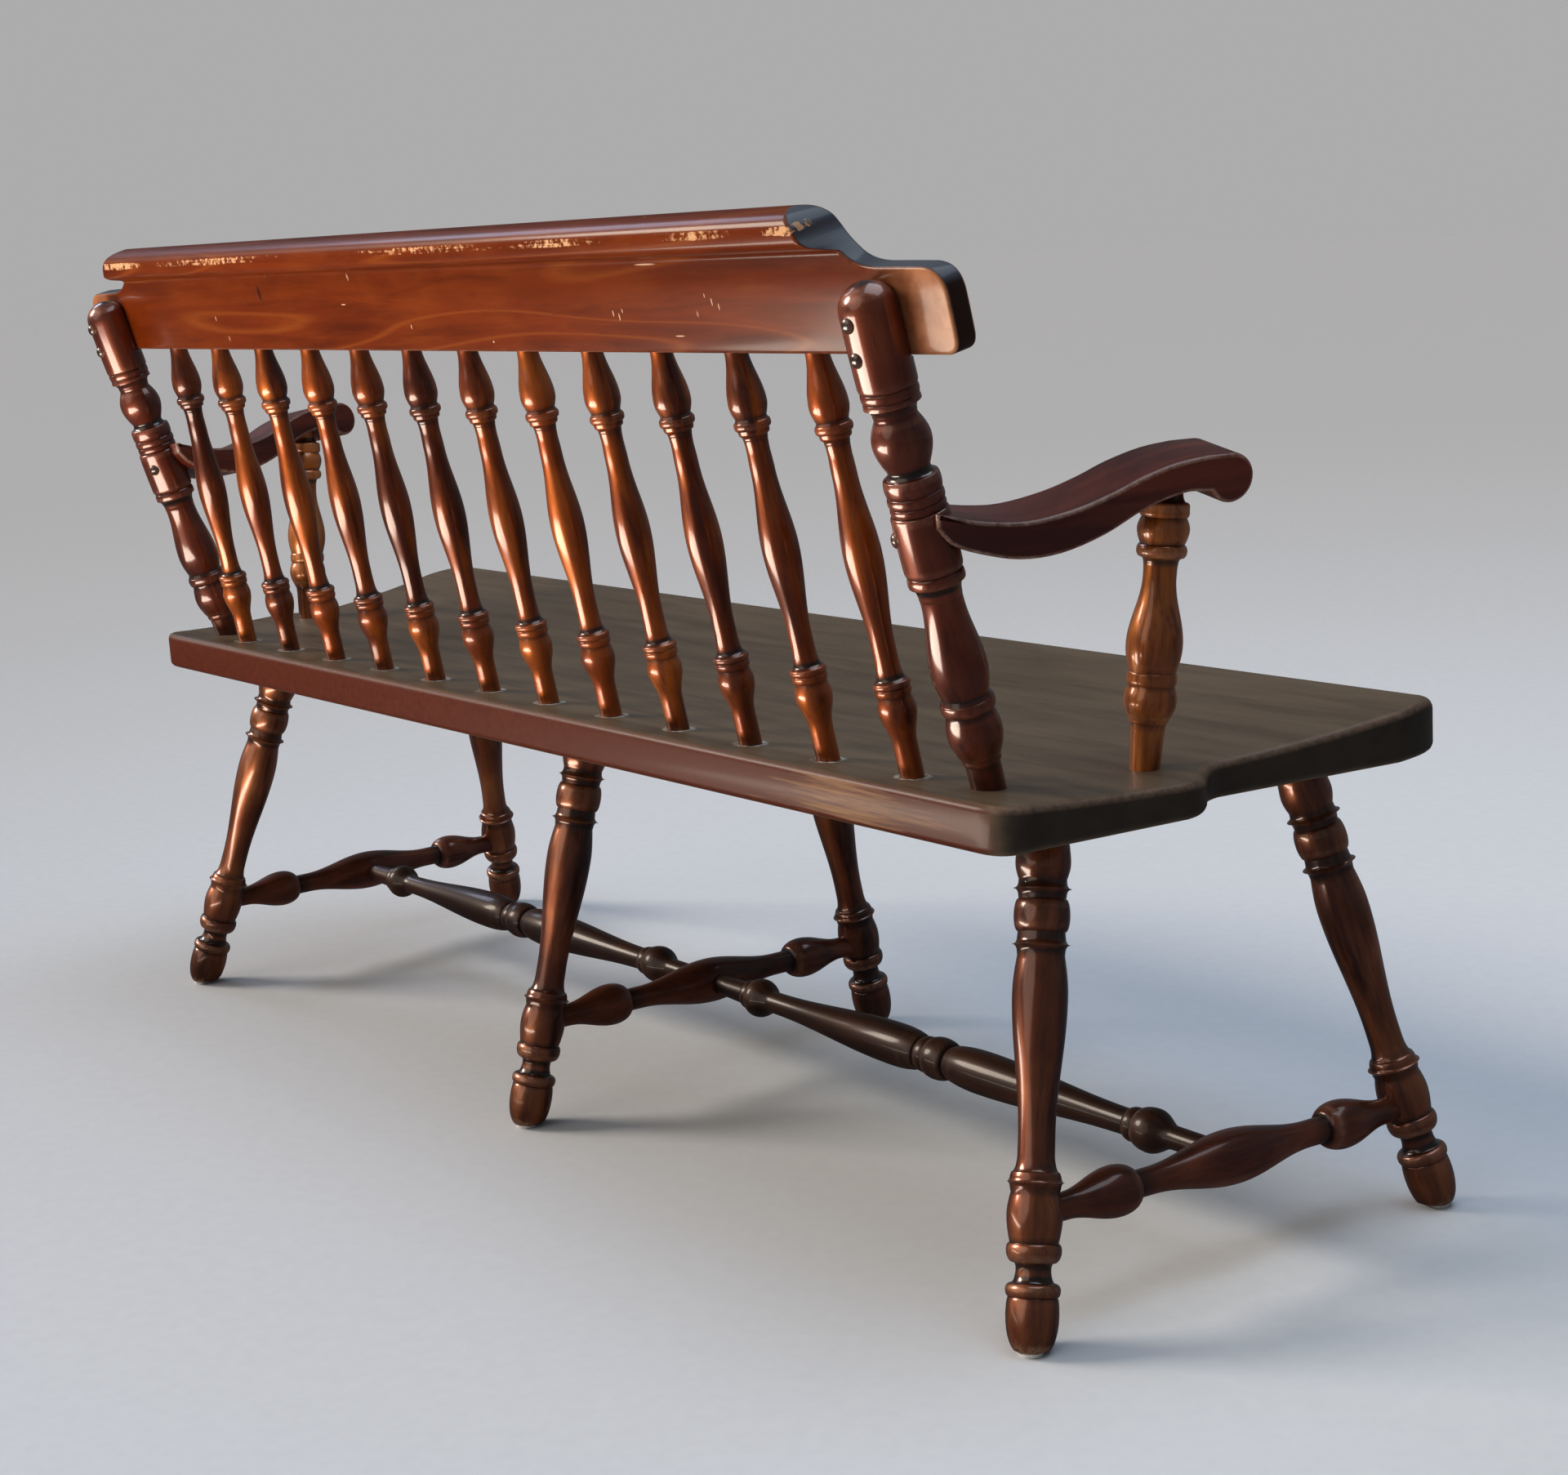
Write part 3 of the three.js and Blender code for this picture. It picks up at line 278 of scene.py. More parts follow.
def new_piece(name, vertices, faces, material, attributes, world=None):
    """A mesh in the bench's frame. Its attribute own keeps each point's place in the piece's own frame."""
    mesh = bpy.data.meshes.new(name)
    mesh.from_pydata([tuple(v) for v in vertices], [], faces)
    mesh.validate()
    own = mesh.attributes.new("own", "FLOAT_VECTOR", "POINT")
    own.data.foreach_set("vector", [number for vertex in vertices for number in vertex])
    if world is not None:
        mesh.transform(world)
    for key, values in attributes.items():
        layer = mesh.attributes.new(key, "FLOAT", "POINT")
        layer.data.foreach_set("value", values)
    mesh.polygons.foreach_set("use_smooth", [True] * len(mesh.polygons))
    mesh.set_sharp_from_angle(angle=SHARP_ANGLE)
    mesh.materials.append(material)
    piece = bpy.data.objects.new(name, mesh)
    bpy.context.scene.collection.objects.link(piece)
    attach(piece, "root")
    return piece


shuffled = random.Random(7)


def tone():
    return shuffled.random()


def turned_piece(node, points, start, towards, material, ending="wood", bare=None):
    """A solid of revolution from points (radius, height) on the axis from start, for a CAD node."""
    sides, rings = TURNED_SIDES, len(points)
    turns = [2 * pi * i / sides for i in range(sides)]
    vertices = [(r * cos(turn), r * sin(turn), h) for r, h in points for turn in turns]
    faces = []
    for j in range(rings - 1):
        for i in range(sides):
            k = (i + 1) % sides
            a = j * sides
            faces.append((a + i, a + k, a + sides + k, a + sides + i))
    faces.append(tuple(reversed(range(sides))))
    faces.append(tuple((rings - 1) * sides + i for i in range(sides)))
    wear, grime_and_shade = wear_along(points)
    rows = {"wear": wear, "grime_and_shade": grime_and_shade, "tone": [tone()] * rings}
    if bare:
        rows["bare"] = [bare(h) for _, h in points]
    attributes = {key: [value for value in row for _ in turns] for key, row in rows.items()}
    own_frame = axis_frame(start, towards)
    piece = new_piece(f"{node}_{ending}", vertices, faces, material, attributes, own_frame)
    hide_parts(node)
    return piece


def closed(points, low_sink=SINK, high_sink=SINK):
    """The profile run a little further into what holds the piece at each end."""
    (r0, h0), (r1, h1) = points[0], points[-1]
    first = [(r0, h0 - low_sink)] if low_sink else []
    last = [(r1, h1 + high_sink)] if high_sink else []
    return first + points + last


def wall_faces(layers, count):
    """Quads between neighbouring layers of a closed outline of count points."""
    faces = []
    for j in range(layers - 1):
        for i in range(count):
            k = (i + 1) % count
            a, b = j * count, (j + 1) * count
            faces.append((a + k, a + i, b + i, b + k))
    return faces


def looks(points, shade):
    """The places and the attributes of points (place, wear, bare, grime and painted shade)."""
    places, wears, bares, grimes_and_shades = zip(*points)
    return places, {"wear": wears, "bare": bares, "grime_and_shade": grimes_and_shades, "tone": [shade] * len(points)}


# Materials
def rgb(red, green, blue):
    return (red, green, blue, 1)


# Scales of the patterns across and along the grain
EVEN = (1.0, 1.0, 1.0)
GRAIN_ACROSS = 9.0
GRAIN_ALONG = 0.9
PORE_ALONG = 0.05
FIBRE_ALONG = 0.04
DENT_STRETCH = (1.0, 1.0, 0.4)

# Noises: scale, detail, roughness and distortion
STREAKS = (5.0, 4.0, 0.6, 0.3)
PORES = (900.0, 2.0, 0.5, 0.0)
CLOUDS = (14.0, 2.0, 0.5, 0.0)
SCUFFS = (160.0, 4.0, 0.7, 0.0)
FIBRES = (260.0, 3.0, 0.65, 0.0)
GROWTH = (2.4, 1.0, 0.4, 0.5)
BLOTCHES = (38.0, 3.0, 0.6, 0.0)
FLOOR_GRAIN = (60.0, 4.0, 0.55, 0.0)

# How much each part of the wood does
SEEDS_APART = 37.0
RINGS = 24.0
DENT_CELLS = 34.0
PORE_COVER = 0.45
GRIME_AND_SHADE_COVER = 0.9
WEAR_COVER = 0.6
BARE_SHARE = 0.62
FIBRE_SHARE = 0.9
GLOSS_SPREAD = 0.14
BARE_ROUGHNESS = 0.25
COAT_ROUGHNESS = 0.13
PORE_RELIEF = 0.15
CLOUD_RELIEF = 1.2
WOOD_BUMP = 0.08
WOOD_DEPTH = 0.0006
PLAIN_BUMP = 0.3
PLAIN_DARKER = 0.7

# The range of values over which each noise, facing or distance comes in
DARK_STREAKS = (0.36, 0.62)
LIT_STREAKS = (0.4, 0.66)
LIT_CLOUDS = (0.42, 0.7)
RING_BANDS = (0.3, 0.9)
RING_LINES = (0.8, 1.0)
OPEN_PORES = (0.56, 0.75)
SCUFFED = (0.3, 0.62)
BARE_FIBRES = (0.3, 0.5)
MOTTLED = (0.35, 0.7)
DENT_CHOICE = (0.72, 0.74)
DENT_SIZE = (0.03, 0.07)
DENT_SCUFF = (0.4, 0.55)
FACING_REAR = (0.5, 0.6)
FACING_UP = (0.3, 0.6)
OVAL_EDGE = (0.5, 1.0)
LIP_SCUFF = (0.32, 0.6)
EAR_ENDS = (0.66, 0.74)
EAR_BLOTCHES = (0.2, 0.6)
POLISH_EDGE = (0.001, 0.004)
POLISH_SCUFF = (0.42, 0.6)
POLISH_ENDS = (SPINDLE_BASE_SPAN + 0.03, SPINDLE_BASE_SPAN + 0.028)
REAR_EDGE = (SEAT_BACK + FEET_LINE - 0.005, SEAT_BACK + FEET_LINE - 0.001)
FRONT_EDGE = (SEAT_FRONT + FEET_LINE + 0.007, SEAT_FRONT + FEET_LINE + 0.002)

GRIME_AND_SHADE_COLOUR = rgb(0.011, 0.008, 0.007)
FAINT_DENT_COLOUR = rgb(0.5, 0.27, 0.18)
DENT_COLOUR = rgb(0.5, 0.3, 0.2)
KNOT_COLOUR = rgb(0.03, 0.008, 0.004)
EAR_COLOUR = rgb(0.55, 0.26, 0.13)
EAR_COVER = 0.6
# Painted reflection of the sky: bluish grey on the up-facing, darkened parts of the crest's ends.
SKY_REFLECTION_COLOUR = rgb(0.07, 0.08, 0.1)
SKY_REFLECTION_COVER = 0.9
POLISH_COLOUR = rgb(0.55, 0.54, 0.5)
POLISH_COVER = 0.95
POLISH_RADIUS = 0.0128
RED_EDGE_DARK = rgb(0.03, 0.004, 0.001)
RED_EDGE_LIGHT = rgb(0.09, 0.014, 0.003)


class Nodes:
    """A short way to write a node tree."""

    def __init__(self, name, own_frame=False):
        self.own_frame = own_frame
        self.material = bpy.data.materials.new(name)
        self.material.use_nodes = True
        self.tree = self.material.node_tree
        self.shader = self.tree.nodes["Principled BSDF"]

    def put(self, node, key, value):
        """Links a socket to an input, or writes a constant there."""
        if isinstance(value, bpy.types.NodeSocket):
            self.tree.links.new(value, node.inputs[key])
        else:
            node.inputs[key].default_value = value

    def add(self, kind, inputs=None, **settings):
        node = self.tree.nodes.new(kind)
        for key, value in settings.items():
            setattr(node, key, value)
        for key, value in (inputs or {}).items():
            self.put(node, key, value)
        return node

    def math(self, operation, first, second=0.0, clamp=False):
        inputs = {0: first, 1: second}
        return self.add("ShaderNodeMath", inputs, operation=operation, use_clamp=clamp).outputs[0]

    def times(self, first, *others):
        for other in others:
            first = self.math("MULTIPLY", first, other)
        return first

    def plus(self, first, second):
        return self.math("ADD", first, second)

    def minus(self, first, second):
        return self.math("SUBTRACT", first, second)

    def highest(self, first, *others):
        for other in others:
            first = self.math("MAXIMUM", first, other)
        return first

    def attribute(self, name):
        return self.add("ShaderNodeAttribute", attribute_name=name).outputs["Fac"]

    def noise(self, stretch, kind, seed=0.0):
        scale, detail, roughness, distortion = kind
        inputs = {"Vector": self.stretched(stretch), "W": seed, "Scale": scale, "Detail": detail,
                  "Roughness": roughness, "Distortion": distortion}
        return self.add("ShaderNodeTexNoise", inputs, noise_dimensions="4D").outputs["Fac"]

    def ramp(self, fac, start, end):
        """0 at start, 1 at end, and straight between them."""
        return self.add("ShaderNodeMapRange", {0: fac, 1: start, 2: end}, clamp=True).outputs[0]

    def mix(self, fac, first, second):
        node = self.add("ShaderNodeMix", data_type="RGBA")
        for key, value in ((0, fac), (6, first), (7, second)):
            self.put(node, key, value)
        return node.outputs[2]

    def cover(self, base, colour, *shares):
        """Lays a colour over the base, as strongly as the product of the shares."""
        return self.mix(self.times(*shares), base, colour)

    def stretched(self, scale):
        if self.own_frame:
            where = self.add("ShaderNodeAttribute", attribute_name="own").outputs["Vector"]
        else:
            where = self.add("ShaderNodeTexCoord").outputs["Object"]
        return self.add("ShaderNodeMapping", {"Vector": where, "Scale": scale}).outputs[0]

    def surface(self, inputs):
        """Sets the shader's inputs and answers the material."""
        for key, value in inputs.items():
            self.put(self.shader, key, value)
        return self.material


def squeezed(along, across_scale, along_scale):
    """A scale with one value across the grain and another along it."""
    scale = [across_scale] * 3
    scale[along] = along_scale
    return scale


def wood(name, dark, middle, light, worn, amber, gloss=0.36, shine=0.2, glow=0.0, coat=1.0, along=2,
         cathedral=0.0, extra=None, raw=(0.5, 0.27, 0.14)):
    """Stained maple under lacquer. along is the grain's axis in the piece's own frame."""
    dark, middle, light, worn, raw = (rgb(*colour) for colour in (dark, middle, light, worn, raw))
    n = Nodes(name, own_frame=True)
    grain = squeezed(along, GRAIN_ACROSS, GRAIN_ALONG)
    seed = n.times(n.attribute("tone"), SEEDS_APART)
    streak = n.noise(grain, STREAKS, seed)
    pores = n.noise(squeezed(along, 1.0, PORE_ALONG), PORES, seed)
    cloud = n.noise(EVEN, CLOUDS, seed)
    scuff = n.noise(EVEN, SCUFFS, seed)
    fibres = n.noise(squeezed(along, 1.0, FIBRE_ALONG), FIBRES, seed)
    base = n.mix(n.ramp(streak, *DARK_STREAKS), dark, middle)
    base = n.cover(base, light, n.ramp(cloud, *LIT_CLOUDS), amber, n.ramp(streak, *LIT_STREAKS))
    if cathedral:
        rings = n.noise([g / 2 for g in grain], GROWTH, seed)
        lines = n.math("PINGPONG", n.times(rings, RINGS), 1.0)
        base = n.cover(base, middle, n.ramp(lines, *RING_BANDS), cathedral)
        base = n.cover(base, light, n.ramp(lines, *RING_LINES), cathedral)
    base = n.cover(base, dark, n.ramp(pores, *OPEN_PORES), PORE_COVER)
    # Grime and painted shade: near black in the grooves of turnings, on end faces and on the crest's foot.
    base = n.cover(base, GRIME_AND_SHADE_COLOUR, n.attribute("grime_and_shade"), GRIME_AND_SHADE_COVER)
    edge = n.times(n.attribute("wear"), n.ramp(scuff, *SCUFFED))
    base = n.cover(base, worn, edge, WEAR_COVER)
    bare = n.attribute("bare")
    if extra:
        base, bare = extra(n, base, bare, scuff)
    fibrous = n.times(n.minus(fibres, 0.5), FIBRE_SHARE)
    bare = n.ramp(n.plus(n.times(bare, BARE_SHARE), fibrous), *BARE_FIBRES)
    uneven = n.plus(gloss, n.times(n.minus(scuff, 0.5), GLOSS_SPREAD))
    dulled = n.times(n.highest(bare, edge), BARE_ROUGHNESS)
    relief = n.plus(n.times(pores, PORE_RELIEF), n.times(cloud, CLOUD_RELIEF))
    bump = n.add("ShaderNodeBump", {"Strength": WOOD_BUMP, "Distance": WOOD_DEPTH, "Height": relief})
    return n.surface({
        "Base Color": n.mix(bare, base, raw),
        "Roughness": n.math("ADD", uneven, dulled, clamp=True),
        "Specular IOR Level": shine,
        "Metallic": glow,
        "Coat Weight": coat,
        "Coat Roughness": COAT_ROUGHNESS,
        "Normal": bump.outputs[0],
    })


def plain(name, colour, roughness, metallic, scale, depth):
    """A plain material with a fine mottle in colour and surface."""
    n = Nodes(name)
    mottle = n.noise(EVEN, (scale, 3.0, 0.55, 0.0))
    darker = [c * PLAIN_DARKER for c in colour[:3]] + [1]
    bump = n.add("ShaderNodeBump", {"Strength": PLAIN_BUMP, "Distance": depth, "Height": mottle})
    return n.surface({
        "Base Color": n.mix(n.ramp(mottle, *MOTTLED), darker, colour),
        "Roughness": roughness,
        "Metallic": metallic,
        "Normal": bump.outputs[0],
    })


def bench_place(n):
    """The sockets x, y and z of the place in the bench's frame."""
    return n.add("ShaderNodeSeparateXYZ", {0: n.add("ShaderNodeTexCoord").outputs["Object"]}).outputs


def spots(n, value, places):
    """The highest of a few soft bumps, each (middle, reach, strength), along a value."""
    bumps = []
    for middle, reach, strength in places:
        off = n.math("ABSOLUTE", n.minus(value, middle))
        bumps.append(n.times(n.minus(1.0, n.ramp(off, 0.0, reach)), strength))
    return n.highest(*bumps)


def ovals(n, where, places):
    """Small soft ovals on the crest, each (x, z, half width, half height)."""
    made = []
    for x, z, wide, high in places:
        squares = []
        for value, middle, reach in ((where[0], x, wide), (where[2], z, high)):
            share = n.times(n.minus(value, middle), 1 / reach)
            squares.append(n.math("POWER", n.math("ABSOLUTE", share), 2.0))
        made.append(n.minus(1.0, n.ramp(n.plus(*squares), *OVAL_EDGE)))
    return n.highest(*made)


# Marks on the crest: its dents and its knot as ovals, and the rubbed places of its rear lip as spots
CREST_DENTS = [
    (-0.322, 0.8, 0.0008, 0.003), (-0.33, 0.797, 0.0008, 0.0035), (-0.336, 0.802, 0.0007, 0.002),
    (-0.464, 0.808, 0.0008, 0.0035), (-0.472, 0.804, 0.0007, 0.003), (-0.456, 0.813, 0.0006, 0.002),
    (-0.385, 0.839, 0.016, 0.0008), (-0.41, 0.781, 0.007, 0.0006), (0.02, 0.79, 0.0008, 0.0025),
    (-0.12, 0.776, 0.0012, 0.0012), (0.14, 0.812, 0.005, 0.0006), (0.43, 0.8, 0.0008, 0.003),
]
CREST_KNOT = [(0.312, 0.8253, 0.0035, 0.008)]
LIP_PATCHES = [
    (-0.615, 0.045, 1.7), (-0.5, 0.1, 1.0), (-0.3, 0.12, 1.0), (-0.05, 0.3, 0.85), (0.35, 0.25, 1.05),
    (0.57, 0.09, 1.7),
]


def faint_dents(n, base, scuff):
    """Faint round dents in a few cells of a pattern."""
    cells = n.add("ShaderNodeTexVoronoi", {"Vector": n.stretched(DENT_STRETCH), "Scale": DENT_CELLS})
    drawn = n.add("ShaderNodeSeparateColor", {0: cells.outputs["Color"]}).outputs[0]
    inside = n.minus(1.0, n.ramp(cells.outputs["Distance"], *DENT_SIZE))
    shares = n.ramp(drawn, *DENT_CHOICE), inside, n.ramp(scuff, *DENT_SCUFF)
    return n.cover(base, FAINT_DENT_COLOUR, *shares)


def rubbed_roll(n, base, bare, scuff):
    """The crest's dents, knot, paler ears, a painted reflection of the sky on its scrolls, and rear lip
    rubbed through in places.
    """
    where = bench_place(n)
    facing = n.add("ShaderNodeSeparateXYZ", {0: n.add("ShaderNodeNewGeometry").outputs["Normal"]}).outputs
    rear = n.ramp(facing[1], *FACING_REAR)
    base = faint_dents(n, base, scuff)
    base = n.cover(base, KNOT_COLOUR, rear, ovals(n, where, CREST_KNOT))
    base = n.cover(base, DENT_COLOUR, rear, ovals(n, where, CREST_DENTS))
    patches = n.times(spots(n, where[0], LIP_PATCHES), n.ramp(scuff, *LIP_SCUFF))
    grime_and_shade = n.attribute("grime_and_shade")
    ears = n.times(n.ramp(n.math("ABSOLUTE", where[0]), *EAR_ENDS), n.minus(1.0, grime_and_shade))
    blotch = n.ramp(n.noise(EVEN, BLOTCHES), *EAR_BLOTCHES)
    base = n.cover(base, EAR_COLOUR, ears, blotch, EAR_COVER)
    # A painted reflection of the sky on the crest's up-facing end faces.
    base = n.cover(base, SKY_REFLECTION_COLOUR, grime_and_shade, n.ramp(facing[2], *FACING_UP), SKY_REFLECTION_COVER)
    return base, n.times(bare, patches)


def residue(n, base, bare, scuff):
    """The seat's thin line of old polish round each spindle's foot, and its redder front and rear edges."""
    where = bench_place(n)
    pitch = 2 * SPINDLE_BASE_SPAN / (SPINDLES - 1)
    shifted = n.plus(where[0], SPINDLE_BASE_SPAN + pitch / 2)
    across = n.minus(n.math("FLOORED_MODULO", shifted, pitch), pitch / 2)
    deep = n.minus(where[1], SPINDLE_ROW + FEET_LINE)
    away = n.math("SQRT", n.plus(n.math("POWER", across, 2.0), n.math("POWER", deep, 2.0)))
    inside = n.ramp(n.math("ABSOLUTE", where[0]), *POLISH_ENDS)
    off = n.math("ABSOLUTE", n.minus(away, POLISH_RADIUS))
    ring = n.times(n.minus(1.0, n.ramp(off, *POLISH_EDGE)), n.ramp(scuff, *POLISH_SCUFF), inside)
    rear_edge, front_edge = n.ramp(where[1], *REAR_EDGE), n.ramp(where[1], *FRONT_EDGE)
    red = n.mix(scuff, RED_EDGE_DARK, RED_EDGE_LIGHT)
    base = n.mix(n.highest(rear_edge, front_edge), base, red)
    return n.cover(base, POLISH_COLOUR, ring, POLISH_COVER), bare


SPINDLE_WOOD = wood(
    "spindle_wood", (0.06, 0.01, 0.002), (0.27, 0.05, 0.005), (0.62, 0.17, 0.02), (0.36, 0.16, 0.1),
    amber=0.65, glow=0.55, coat=0.9,
)
# A lighter copy of the spindles' wood: painted light for the light the arm posts catch between the spindles.
ARM_POST_LIT_WOOD = wood(
    "arm_post_lit_wood", (0.1, 0.02, 0.004), (0.62, 0.17, 0.028), (0.78, 0.31, 0.065), (0.5, 0.25, 0.14),
    amber=0.7, glow=0.5,
)
POST_WOOD = wood(
    "post_wood", (0.035, 0.006, 0.003), (0.115, 0.019, 0.006), (0.25, 0.06, 0.02), (0.36, 0.15, 0.1),
    amber=0.6, glow=0.5,
)
LEG_WOOD = wood(
    "leg_wood", (0.035, 0.008, 0.004), (0.19, 0.045, 0.014), (0.55, 0.19, 0.07), (0.42, 0.22, 0.14),
    amber=0.6, gloss=0.34, shine=0.25, glow=0.65,
)
LOW_WOOD = wood(
    "stretcher_wood", (0.01, 0.004, 0.003), (0.032, 0.011, 0.006), (0.075, 0.025, 0.012),
    (0.15, 0.08, 0.055), amber=0.3, gloss=0.42, glow=0.15, coat=0.25,
)
# A lighter copy of the stretchers' wood: painted light for the cross stretchers, which lie in shade.
CROSS_LIT_WOOD = wood(
    "cross_stretcher_lit_wood", (0.04, 0.01, 0.005), (0.15, 0.036, 0.016), (0.3, 0.085, 0.035),
    (0.3, 0.14, 0.1), amber=0.5, gloss=0.38, glow=0.4, coat=0.6,
)
RAIL_WOOD = wood(
    "rail_wood", (0.06, 0.008, 0.001), (0.115, 0.0165, 0.0015), (0.19, 0.045, 0.006), (0.22, 0.08, 0.04),
    amber=0.3, gloss=0.34, shine=0.08, coat=0.2, along=0, cathedral=0.5, extra=rubbed_roll,
)
# Its greyish base colour is partly painted reflection: lifted to stand in for the sheen the seat's top
# shows, over the stain's darker brown.
SEAT_WOOD_AND_SHEEN = wood(
    "seat_wood", (0.088, 0.06, 0.037), (0.13, 0.092, 0.058), (0.165, 0.11, 0.065), (0.3, 0.17, 0.11),
    amber=0.3, gloss=0.42, coat=0.08, along=0, cathedral=0.15, extra=residue, raw=(0.2, 0.105, 0.055),
)
ARM_WOOD = wood(
    "arm_wood", (0.045, 0.007, 0.003), (0.11, 0.018, 0.008), (0.16, 0.035, 0.014), (0.5, 0.32, 0.24),
    amber=0.35, shine=0.25, glow=0.05, coat=0.25, along=0,
)
BUTTON_WOOD = wood(
    "button_wood", (0.03, 0.01, 0.007), (0.07, 0.022, 0.013), (0.16, 0.06, 0.03), (0.26, 0.13, 0.08),
    amber=0.3, gloss=0.3, shine=0.4, glow=0.2,
)
STEEL = plain("screw_steel", rgb(0.55, 0.55, 0.52), 0.4, 1.0, 900.0, 0.0001)
NYLON = plain("glide_nylon", rgb(0.92, 0.9, 0.86), 0.5, 0.0, 500.0, 0.0002)


def place(x, y, z):
    """A point whose depth counts from the feet's middle line."""
    return Vector((x, y + FEET_LINE, z))


# The seat's top: depth, and height over SEAT_HEIGHT there
DISH = [
    (SEAT_BACK, 0.0025), (0.2, 0.0003), (0.1914, 0), (0.16, -0.0015), (0.12, -0.0025), (0.08, -0.0025),
    (0.05, -0.002), (0, 0.0002), (-0.05, 0.0039), (-0.1, 0.0091), (-0.15, 0.0159), (-0.185, 0.0205),
    (-0.2, 0.0213), (SEAT_FRONT, 0.0212),
]


def seat_top(y):
    """The seat's top over a depth, on a smooth curve through the dish's points."""
    i = next((k for k, (depth, _) in enumerate(DISH) if depth <= y), len(DISH) - 1)
    i = max(1, i)
    (y1, z1), (y2, z2) = DISH[i - 1], DISH[i]
    y0, z0 = DISH[max(i - 2, 0)]
    y3, z3 = DISH[min(i + 1, len(DISH) - 1)]
    t = (y - y1) / (y2 - y1)
    slope1 = (z2 - z0) / (y2 - y0) * (y2 - y1)
    slope2 = (z3 - z1) / (y3 - y1) * (y2 - y1)
    a, b = 2 * z1 - 2 * z2 + slope1 + slope2, -3 * z1 + 3 * z2 - 2 * slope1 - slope2
    return SEAT_HEIGHT + ((a * t + b) * t + slope1) * t + z1


def seat_under(y):
    """The underside's height over a depth."""
    return SEAT_HEIGHT - SEAT_THICKNESS + SEAT_UNDER_SLOPE * (y - SPINDLE_ROW)


def on_curve(points, t):
    """The point at a share of the run of a Bezier curve of 3 or 4 control points."""
    level = [Vector(p) for p in points]
    while len(level) > 1:
        level = [a.lerp(b, t) for a, b in zip(level, level[1:])]
    return level[0]


def bezier(points, steps):
    """Points on a Bezier curve, its start left out."""
    return [on_curve(points, i / steps) for i in range(1, steps + 1)]


def seat_outline():
    """The right half of the seat's plan, from the middle of the back to the middle of the front."""
    rear, shoulder, waist, front = SEAT_REAR_HALF, SEAT_SHOULDER_HALF, SEAT_WAIST_HALF, SEAT_FRONT_HALF
    rear_end = rear - SEAT_REAR_CORNER
    side_start = SEAT_BACK - SEAT_REAR_CORNER
    middle = (SEAT_SHOULDER_Y + SEAT_WAIST_Y) / 2
    nose_start = SEAT_FRONT + 2 * SEAT_FRONT_CORNER
    front_end = front - SEAT_FRONT_CORNER
    curves = [
        (1, [(rear, SEAT_BACK), (rear, side_start)]),
        (2, [((rear + shoulder) / 2, (side_start + SEAT_SHOULDER_Y) / 2), (shoulder, SEAT_SHOULDER_Y)]),
        (2, [(shoulder, middle), (waist, middle), (waist, SEAT_WAIST_Y)]),
        (2, [((waist + front) / 2, (SEAT_WAIST_Y + nose_start) / 2), (front, nose_start)]),
        (1, [(front, SEAT_FRONT), (front_end, SEAT_FRONT)]),
    ]
    before_corner = SEAT_EDGE_STEPS - 3
    points = [Vector((rear * i / SEAT_EDGE_STEPS, SEAT_BACK)) for i in range(before_corner)]
    points.append(Vector((rear_end, SEAT_BACK)))
    for fineness, rest in curves:
        points += bezier([points[-1]] + rest, fineness * CURVE_STEPS)
    for i in range(1, SEAT_EDGE_STEPS + 1):
        points.append(Vector((front_end * (1 - i / SEAT_EDGE_STEPS), SEAT_FRONT)))
    return points


def outward(points, i, wraps=True):
    """The outward normal of a clockwise outline at one of its points."""
    count = len(points)
    before = points[(i - 1) % count] if wraps else points[max(i - 1, 0)]
    after = points[(i + 1) % count] if wraps else points[min(i + 1, count - 1)]
    along = (after - before).normalized()
    return Vector((-along.y, along.x))


def seat_caps(layers, count, half):
    """The underside and the top: strips across the bench between points at like depths."""
    faces = []
    for layer, flip in ((0, False), (layers - 1, True)):
        base = layer * count
        for i in range(half):
            a, b = base + i, base + i + 1
            c, d = base + (count - i - 1) % count, base + (count - i) % count
            ring = [a, b, c, d] if i else [a, b, c]
            if i == half - 1:
                ring = [a, b, d]
            faces.append(tuple(ring if flip else reversed(ring)))
    return faces


def make_seat():
    right = seat_outline()
    left = [Vector((-p.x, p.y)) for p in reversed(right[1:-1])]
    outline = right + left
    arcs = quarter_turns(SEAT_ROUND_STEPS)
    layers = [("under", turn) for turn in arcs] + [("top", turn) for turn in reversed(arcs)]
    points = []
    for side, turn in layers:
        for i, p in enumerate(outline):
            normal = outward(outline, i)
            radius = SEAT_EDGE_ROUND
            if side == "top":
                radius += (SEAT_NOSE_ROUND - SEAT_EDGE_ROUND) * max(0.0, -normal.y) ** 2
            inset = radius * (1 - sin(turn))
            drop = radius * (1 - cos(turn))
            q = p - normal * inset
            height = seat_under(q.y) + drop if side == "under" else seat_top(q.y) - drop
            most = SEAT_END_WEAR if abs(normal.x) > SEAT_END_FACING else SEAT_LONG_WEAR
            wear = most * sin(2 * turn) if side == "top" else 0.0
            near_corner = exp(-((p.x - NEAR_CORNER_X) / NEAR_CORNER_REACH) ** 2)
            on_side = sin(turn) ** 2
            bare = NEAR_CORNER_BARE * (max(0.0, normal.y) * on_side) * near_corner
            # The seat's ends get grime and painted shade, near black where they face along the bench.
            points.append((place(q.x, q.y, height), wear, bare, SEAT_END_GRIME_AND_SHADE * abs(normal.x) * on_side))
    faces = wall_faces(len(layers), len(outline)) + seat_caps(len(layers), len(outline), len(right) - 1)
    vertices, attributes = looks(points, SEAT_TONE)
    seat = new_piece("seat", vertices, faces, SEAT_WOOD_AND_SHEEN, attributes)
    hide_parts("seat_plank")


make_seat()


# Legs, glides and stretchers
ENDS = (("left", -1), ("right", 1))
SIDES = (("left", -1), ("middle", 0), ("right", 1))


def foot_bareness(height):
    """The bare wood at the foot of a leg, less and less upwards."""
    return FOOT_BARE * max(0.0, 1 - height / FOOT_BARE_HEIGHT)


